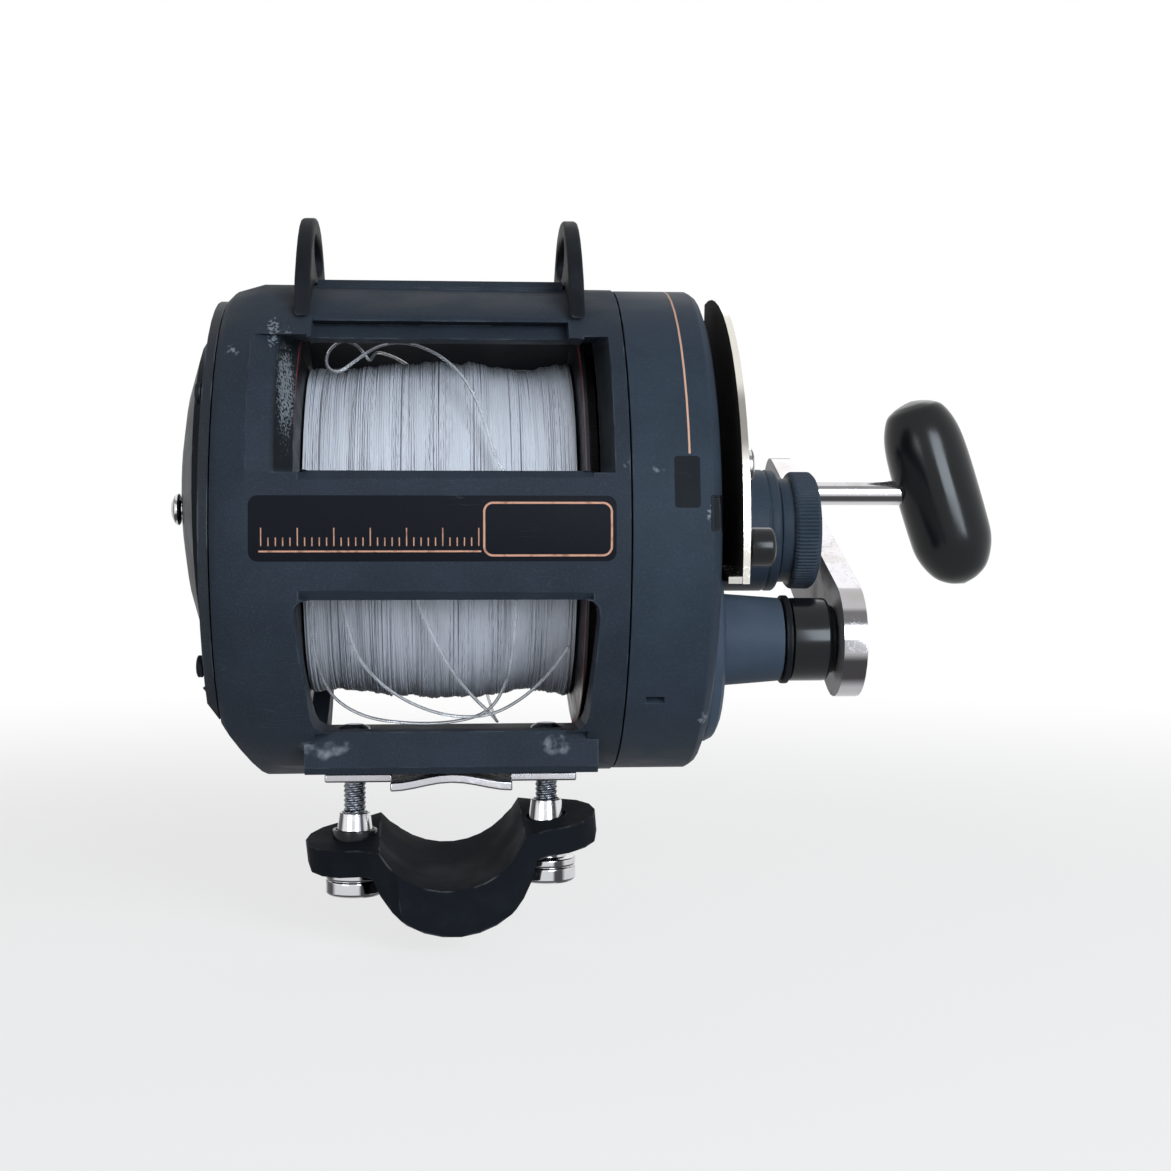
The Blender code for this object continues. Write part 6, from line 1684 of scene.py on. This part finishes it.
@dataclass(frozen=True)
class Spool:
    """The spool, turned again with finer steps and rounded rims.

    Args:
        half: from its middle to each flange's foot.
        rim: how wide its round corners are.
        rim_thickness: thickness of a flange at its rim.
        flare: how far below the rim a flange leaves the line.
        arbor: radius under the line.
        hollow: radius of the hollow inside.
        seat: radius of the bearings' seats.
        throat: radius of the way through.
        web: thickness of the web behind each seat.
        pocket: depth of each seat.
    """

    half: float = 24.4 * MM
    rim: float = 0.25 * MM
    rim_thickness: float = 0.6 * MM
    flare: float = 6.5 * MM
    arbor: float = 18.0 * MM
    hollow: float = 15.5 * MM
    seat: float = 6.8 * MM
    throat: float = 4.75 * MM
    web: float = 2.0 * MM
    pocket: float = 5.3 * MM

    def build(self) -> Object:
        """Half of the section is written down, and the other half is its mirror image."""
        box = Span.of("spool")
        outer = box.high[0]
        outside = [
            (outer, self.seat),
            (outer, box.radius),
            (outer - self.rim_thickness, box.radius),
            (self.half, box.radius - self.flare),
            (self.half, self.arbor),
        ]
        deep = outer - self.pocket
        web = deep - self.web
        inside = [(deep, self.seat), (deep, self.throat), (web, self.throat), (web, self.hollow)]
        section = outside + [(-along, far) for along, far in reversed(outside)]
        section += [(-along, far) for along, far in inside] + inside[::-1]
        item = turned("spool_turned", filleted(section, self.rim, True), box.centre, closed=True, steps=128)
        return stand_in(item, "spool", SPOOL_ALLOY, "line_spool")


@dataclass(frozen=True)
class DragControls:
    """The drag cap, the ribbed preset knob, and the lever's knob and rivet.

    Args:
        cap_bore: radius of the cap's hole.
        cap_edge: width of the cap's chamfer.
        groove: depth and half width of the cap's groove.
        groove_place: how far from the cap's end the groove is.
        ribs: ribs round the knob.
        rib_depth: depth of the valleys between them.
        neck: radius of the knob's neck.
        neck_length: its length.
        knob_bore: radius of the hole in the knob's back.
        knob_depth: its depth.
        dish: depth of the knob's dished face.
        dish_edge: how far in from its rim the dish ends.
        face_edge: how far in from its rim the flat face starts.
        rim_edge: width of the chamfer at its face.
        back_edge: width of the chamfer at its back.
        stud_shoulder: how much of a stud's radius its face has, and of its crown its side.
        soft: how wide the round corners are.
    """

    cap_bore: float = 3.3 * MM
    cap_edge: float = 0.5 * MM
    groove: float = 0.35 * MM
    groove_place: float = 2.2 * MM
    ribs: int = 96
    rib_depth: float = 0.26 * MM
    neck: float = 10.0 * MM
    neck_length: float = 2.3 * MM
    knob_bore: float = 3.0 * MM
    knob_depth: float = 4.2 * MM
    dish: float = 0.8 * MM
    dish_edge: float = 4.2 * MM
    face_edge: float = 3.4 * MM
    rim_edge: float = 0.9 * MM
    back_edge: float = 0.6 * MM
    stud_shoulder: float = 0.45
    soft: float = 0.3 * MM

    def cap(self) -> Object:
        """A plain turned cap with a shallow groove round it."""
        box = Span.of("drag_cap")
        left, right = box.ends
        middle = right - self.groove_place
        section = [
            (right, self.cap_bore),
            (right, box.radius - self.cap_edge),
            (right - self.cap_edge, box.radius),
            (middle + self.groove, box.radius),
            (middle, box.radius - self.groove),
            (middle - self.groove, box.radius),
            (left, box.radius),
            (left, self.cap_bore),
        ]
        item = turned("cap_turned", filleted(section, self.soft, True), box.centre, closed=True)
        return stand_in(item, "drag_cap", DARK_GRAPHITE, "lever")

    def knob(self) -> Object:
        """A turned knob whose rim is drawn in between its ribs: less radius by a power of a cosine."""
        box = Span.of("preset_knob")
        left, right = box.ends
        radius = box.radius
        shoulder = left + self.neck_length
        section = [
            (right - self.dish, 0),
            (right - self.dish, radius - self.dish_edge),
            (right, radius - self.face_edge),
            (right, radius - self.rim_edge),
            (right - self.rim_edge, radius),
            (shoulder + self.back_edge, radius),
            (shoulder, radius - self.back_edge),
            (shoulder, self.neck),
            (left, self.neck),
            (left, self.knob_bore),
            (left + self.knob_depth, self.knob_bore),
            (left + self.knob_depth, 0),
        ]

        def relief(along: np.ndarray, far: np.ndarray, angle: np.ndarray) -> np.ndarray:
            valley = (0.5 + 0.5 * np.cos(self.ribs * angle)) ** 2
            rim = np.clip((far - (radius - 1.0 * MM)) / (0.6 * MM), 0, 1)
            return -self.rib_depth * valley * rim

        profile = filleted(section, self.soft, False)
        item = turned("knob_ribbed", profile, box.centre, steps=self.ribs * 6, relief=relief)
        return stand_in(item, "preset_knob", DARK_GRAPHITE, "preset")

    def stud(self, node: str, name: str, finish: Finish, crown: float) -> Object:
        """A round stud on the lever with a crowned end.

        Args:
            node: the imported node.
            name: the piece that stands for it.
            finish: its finish.
            crown: how far its end is rounded.

        Returns:
            The new object.
        """
        box = Span.of(node)
        left, right = box.ends
        face = (right, box.radius * self.stud_shoulder)
        side = (right - crown * self.stud_shoulder, box.radius)
        section = [(right, 0), face, side, (left, box.radius), (left, 0)]
        item = turned(name, filleted(section, crown * 0.5, False), box.centre, steps=48)
        return stand_in(item, node, finish, "lever")

    def build(self) -> list[Object]:
        """The cap, the knob and the lever's two studs."""
        peg = self.stud("lever_knob", "lever_peg", GLOSS_BLACK, 1.4 * MM)
        rivet = self.stud("lever_rivet", "rivet_head", CHROME, 0.9 * MM)
        return [self.cap(), self.knob(), peg, rivet]


@dataclass(frozen=True)
class Crank:
    """The handle's washer, collar and nut, the grip's shaft and the torpedo grip.

    Args:
        bore: radius of the hole in the washer and the collar.
        neck: radius of the collar's neck.
        neck_length: its length.
        edge: width of the collar's and the nut's chamfers.
        tang: radius of the hole in the nut.
        nut_face: how far in from its rim the nut's face starts.
        shaft_radius: radius of the grip's shaft.
        head_gap: how far beyond the arm the shaft's head starts.
        head_height: height of that head.
        grip_length: length of the grip.
        grip_radius: its greatest radius.
        grip_tilt: how far it leans, in degrees.
        grip_steps: points round it.
        grip_shares: its outline, as shares of half its length and of its radius.
    """

    bore: float = 4.3 * MM
    neck: float = 6.4 * MM
    neck_length: float = 1.1 * MM
    edge: float = 0.5 * MM
    tang: float = 3.7 * MM
    nut_face: float = 0.6 * MM
    shaft_radius: float = 2.75 * MM
    head_gap: float = 0.3 * MM
    head_height: float = 1.2 * MM
    grip_length: float = 43.0 * MM
    grip_radius: float = 9.1 * MM
    grip_tilt: float = 17.0
    grip_steps: int = 64
    grip_shares: tuple[tuple[float, float], ...] = (
        (1.0, 0.0), (0.985, 0.22), (0.94, 0.52), (0.86, 0.74), (0.64, 0.93), (0.3, 1.0),
        (-0.35, 1.0), (-0.62, 0.94), (-0.84, 0.7), (-0.95, 0.38), (-1.0, 0.0),
    )

    def ring(self, node: str, name: str, section: Section, finish: Finish, soft: float) -> Object:
        """A turned ring in place of a node.

        Args:
            node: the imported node.
            name: the piece that stands for it.
            section: the ring's corners as (along, radius).
            finish: its finish.
            soft: how wide its round corners are.

        Returns:
            The new object.
        """
        item = turned(name, filleted(section, soft, True), Span.of(node).centre, closed=True, steps=72)
        return stand_in(item, node, finish, "crank")

    def washer(self) -> Object:
        """A plain ring between the housing and the collar."""
        box = Span.of("handle_washer")
        left, right = box.ends
        section = [(right, self.bore), (right, box.radius), (left, box.radius), (left, self.bore)]
        return self.ring("handle_washer", "boss_washer", section, COATED_BLACK, 0.25 * MM)

    def collar(self) -> Object:
        """A ring with a neck toward the arm."""
        box = Span.of("handle_collar")
        left, right = box.ends
        step = right - self.neck_length
        section = [
            (right, self.bore),
            (right, self.neck),
            (step, self.neck),
            (step, box.radius - self.edge),
            (step - self.edge, box.radius),
            (left, box.radius),
            (left, self.bore),
        ]
        return self.ring("handle_collar", "crank_collar", section, GLOSS_BLACK, 0.35 * MM)

    def nut(self) -> Object:
        """A round nut with a chamfered face."""
        box = Span.of("handle_nut")
        left, right = box.ends
        radius = box.size[1] / 2
        section = [
            (right, self.tang),
            (right, radius - self.nut_face),
            (right - self.edge, radius),
            (left, radius),
            (left, self.tang),
        ]
        return self.ring("handle_nut", "crank_nut", section, CHROME, 0.2 * MM)

    def grip(self) -> Object:
        """A curve through the grip's shares, carried round its long axis, which leans by the tilt."""
        shares = smooth_route(np.array(self.grip_shares), 8)
        along = shares[:, :1] * self.grip_length / 2
        radius = np.maximum(shares[:, 1:], 0.0) * self.grip_radius
        angle = np.linspace(0, 2 * math.pi, self.grip_steps, endpoint=False)
        side, depth = radius * np.cos(angle), radius * np.sin(angle)
        up = np.repeat(along, self.grip_steps, axis=1)
        lean = -math.radians(self.grip_tilt)
        across = side * math.cos(lean) + up * math.sin(lean)
        height = up * math.cos(lean) - side * math.sin(lean)
        points = np.stack([across, depth, height], axis=-1) + Span.of("handle_grip").centre
        return stand_in(surface("grip_torpedo", points, False, True), "handle_grip", GLOSS_BLACK, "grip")

    def shaft(self) -> Object:
        """The grip's shaft with its riveted head, stopped short inside the grip."""
        box = Span.of("grip_shaft")
        left, right = box.ends
        head = Span.of("handle_arm").high[0] + self.head_gap
        radius, wide = self.shaft_radius, box.size[1] / 2
        section = [
            (right, 0),
            (right, radius),
            (head + self.head_height, radius),
            (head + self.head_height, wide),
            (head, wide),
            (head, radius),
            (left, radius),
            (left, 0),
        ]
        item = turned("grip_spindle", filleted(section, 0.25 * MM, False), box.centre, steps=48)
        return stand_in(item, "grip_shaft", CHROME, "crank")

    def build(self) -> list[Object]:
        """The washer, collar and nut on the gear shaft, then the grip's shaft and the grip."""
        return [self.washer(), self.collar(), self.nut(), self.shaft(), self.grip()]


@dataclass(frozen=True)
class Fasteners:
    """Screws with crossed recesses, threaded studs, the clamp's sleeve nuts and the ring on its ear.

    Args:
        recess: half the width of a screw's recess.
        recess_reach: how far from the middle it goes.
        recess_depth: its depth.
        head_height: height of a screw's head.
        head_crown: how much of that height its face is crowned by.
        head_rows: points from the middle of the face to its rim.
        shank: radius of a screw's shank.
        stud_head: height of a stud's head.
        stud_crown: height of the rounded part of it.
        stud_flat: share of its radius that is flat on top.
        stud_radius: radius of a stud's shank.
        stud_rows: points along its thread.
        thread_pitch: from one turn of the thread to the next.
        thread_depth: depth of the thread.
        thread_end: length and depth of the chamfer at the stud's end.
        thread_start: plain length under its head.
        nut_bore: radius of the hole in a sleeve nut.
        cone_wall: thickness of its cone at the top.
        cone_length: length of the nut's cone.
        sleeve: radius of its sleeve.
        flange_height: height of its flange.
        flange_edge: width of the chamfer under it.
        groove: depth and half width of the groove round it.
        groove_place: how far below its top the groove is.
        collar_height: height of the ring on the clamp's left ear.
        collar_drop: how far below the clamp's top it is.
        collar_wall: thickness of its wall.
        collar_gap: room between it and the sleeve.
        soft: how wide the round corners of studs and nuts are.
    """

    recess: float = 0.26 * MM
    recess_reach: float = 1.15 * MM
    recess_depth: float = 0.55 * MM
    head_height: float = 1.1 * MM
    head_crown: float = 0.32
    head_rows: int = 12
    shank: float = 1.0 * MM
    stud_head: float = 1.5 * MM
    stud_crown: float = 0.7 * MM
    stud_flat: float = 0.55
    stud_radius: float = 2.15 * MM
    stud_rows: int = 260
    thread_pitch: float = 0.9 * MM
    thread_depth: float = 0.28 * MM
    thread_end: float = 0.5 * MM
    thread_start: float = 0.4 * MM
    nut_bore: float = 2.45 * MM
    cone_wall: float = 0.45 * MM
    cone_length: float = 5.0 * MM
    sleeve: float = 3.6 * MM
    flange_height: float = 4.6 * MM
    flange_edge: float = 0.6 * MM
    groove: float = 0.3 * MM
    groove_place: float = 1.5 * MM
    collar_height: float = 3.6 * MM
    collar_drop: float = 4.0 * MM
    collar_wall: float = 0.6 * MM
    collar_gap: float = 0.05 * MM
    soft: float = 0.3 * MM

    def screw(self, node: str, side: int) -> Object:
        """A pan head whose face sinks along two crossed lines, on a plain shank.

        Args:
            node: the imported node.
            side: 1 where the head faces right, -1 where it faces left.

        Returns:
            The new object.
        """
        box = Span.of(node)
        end, top = box.ends if side > 0 else box.ends[::-1]
        crown = np.linspace(0, 1, self.head_rows)
        face = np.stack([np.full(self.head_rows, top), crown * box.radius], axis=1)
        face[:, 0] -= side * self.head_crown * self.head_height * crown**4
        under = top - side * self.head_height
        rest = np.array([(under, box.radius), (under, self.shank), (end, self.shank), (end, 0)])
        along, far, angle = turned_grid(np.vstack([face, rest]), 48)
        first, second = far * np.cos(angle), far * np.sin(angle)
        narrow = np.minimum(np.abs(first), np.abs(second))
        within = np.clip((self.recess_reach - far) / (0.2 * MM), 0, 1)
        sunk = np.clip(1.4 - narrow / self.recess, 0, 1) * within
        on_face = np.arange(len(along))[:, None] < self.head_rows
        along = along - side * self.recess_depth * sunk * on_face
        points = np.stack([along, box.centre[1] + first, box.centre[2] + second], axis=-1)
        return stand_in(surface(f"{node}_head", points, False, True), node, COATED_BLACK, "reel_body")

    def stud(self, side: str) -> Object:
        """A round head and a shank whose radius is a triangle wave of turn and height, which is a thread.

        Args:
            side: left or right.

        Returns:
            The new object.
        """
        node = f"clamp_stud_{side}"
        box = Span.of(node)
        top, bottom = box.high[2], box.low[2]
        head = box.size[0] / 2
        under = top - self.stud_head
        low = bottom + self.thread_end
        crown = [(top, 0), (top, head * self.stud_flat), (top - self.stud_crown, head), (under, head)]
        start = filleted([*crown, (under, self.stud_radius)], self.soft, False)
        thread = np.linspace(under, low, self.stud_rows)
        shank = np.stack([thread, np.full(self.stud_rows, self.stud_radius)], axis=1)
        end = np.array([(bottom, self.stud_radius - self.thread_end), (bottom, 0)])
        profile = np.vstack([start, shank, end])

        def relief(along: np.ndarray, far: np.ndarray, angle: np.ndarray) -> np.ndarray:
            phase = (along / self.thread_pitch - angle / (2 * math.pi)) % 1
            tooth = np.abs(phase - 0.5) * 2
            threaded = (along < under - self.thread_start) & (along > low) & (far > self.stud_radius * 0.9)
            return np.where(threaded, -self.thread_depth * tooth, 0.0)

        item = turned(f"threaded_stud_{side}", profile, box.centre, Axis.Z, steps=28, relief=relief)
        return stand_in(item, node, ZINC, "reel_body")

    def nut(self, side: str) -> Object:
        """A coned sleeve on a thick flange with a fine groove.

        Args:
            side: left or right.

        Returns:
            The new object.
        """
        node = f"clamp_nut_{side}"
        box = Span.of(node)
        top, bottom = box.high[2], box.low[2]
        radius = box.size[0] / 2
        flange = bottom + self.flange_height
        groove = flange - self.groove_place
        section = [
            (top, self.nut_bore),
            (top, self.nut_bore + self.cone_wall),
            (top - self.cone_length, self.sleeve),
            (flange, self.sleeve),
            (flange, radius),
            (groove + self.groove, radius),
            (groove, radius - self.groove),
            (groove - self.groove, radius),
            (bottom + self.flange_edge, radius),
            (bottom, radius - self.flange_edge),
            (bottom, self.nut_bore),
        ]
        profile = filleted(section, self.soft, True)
        item = turned(f"sleeve_nut_{side}", profile, box.centre, Axis.Z, closed=True, steps=64)
        return stand_in(item, node, CHROME, f"nut_{side}")

    def collar(self) -> Object:
        """The black ring round the left sleeve nut, on the saddle's ear."""
        centre = Span.of("clamp_nut_left").centre
        high = Span.of("rod_clamp").high[2] - self.collar_drop
        low = high - self.collar_height
        inner = self.sleeve + self.collar_gap
        outer = inner + self.collar_wall
        section = [(high, inner), (high, outer), (low, outer), (low, inner)]
        item = turned("ear_collar", filleted(section, 0.25 * MM, True), centre, Axis.Z, closed=True, steps=48)
        GLOSS_BLACK.dress(item)
        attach(item, "clamp")
        return item

    def build(self) -> list[Object]:
        """Every screw, stud and nut, and the collar."""
        pieces = [self.screw(f"cover_screw_{number}", -1) for number in range(1, 5)]
        pieces += [self.screw(f"housing_screw_{number}", 1) for number in range(1, 4)]
        for side in ("left", "right"):
            pieces += [self.stud(side), self.nut(side)]
        return [*pieces, self.collar()]


# --- The whole reel ---------------------------------------------------------------------------------------


@dataclass
class Reel:
    """The reel's looks, built sub-assembly by sub-assembly.

    Args:
        nodes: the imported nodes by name.
        record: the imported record.
        pieces: the new pieces so far.
    """

    nodes: dict[str, Object]
    record: dict
    pieces: list[Object] = field(default_factory=list)

    def report(self, group: str, made: Object | list[Object]) -> None:
        """Notes each new piece."""
        for item in made if isinstance(made, list) else [made]:
            self.pieces.append(item)
            faces = len(item.data.polygons) if item.type == "MESH" else 0
            LOG.info("%s: %s, %d faces", group, item.name, faces)

    def finish_nodes(self) -> None:
        """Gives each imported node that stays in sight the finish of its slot."""
        for part in self.record["subparts"]:
            NODE_FINISHES[part["material_slot"]].dress(self.nodes[part["node"]])
            LOG.info("node %s: %s", part["node"], part["material_slot"])

    def build(self) -> None:
        """Each sub-assembly in turn."""
        self.finish_nodes()
        self.report("line", LooseLine().build())
        self.report("line", LinePack().build())
        self.report("casings", Casings().build())
        self.report("spool", Spool().build())
        self.report("drag", DragControls().build())
        self.report("crank", Crank().build())
        self.report("fasteners", Fasteners().build())


def main() -> None:
    """Loads the part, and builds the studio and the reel."""
    logging.basicConfig(level=logging.INFO, format="%(name)s: %(message)s")
    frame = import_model()
    Studio().build()
    Reel(frame["nodes"], frame["record"]).build()


if __name__ == "__main__":
    main()
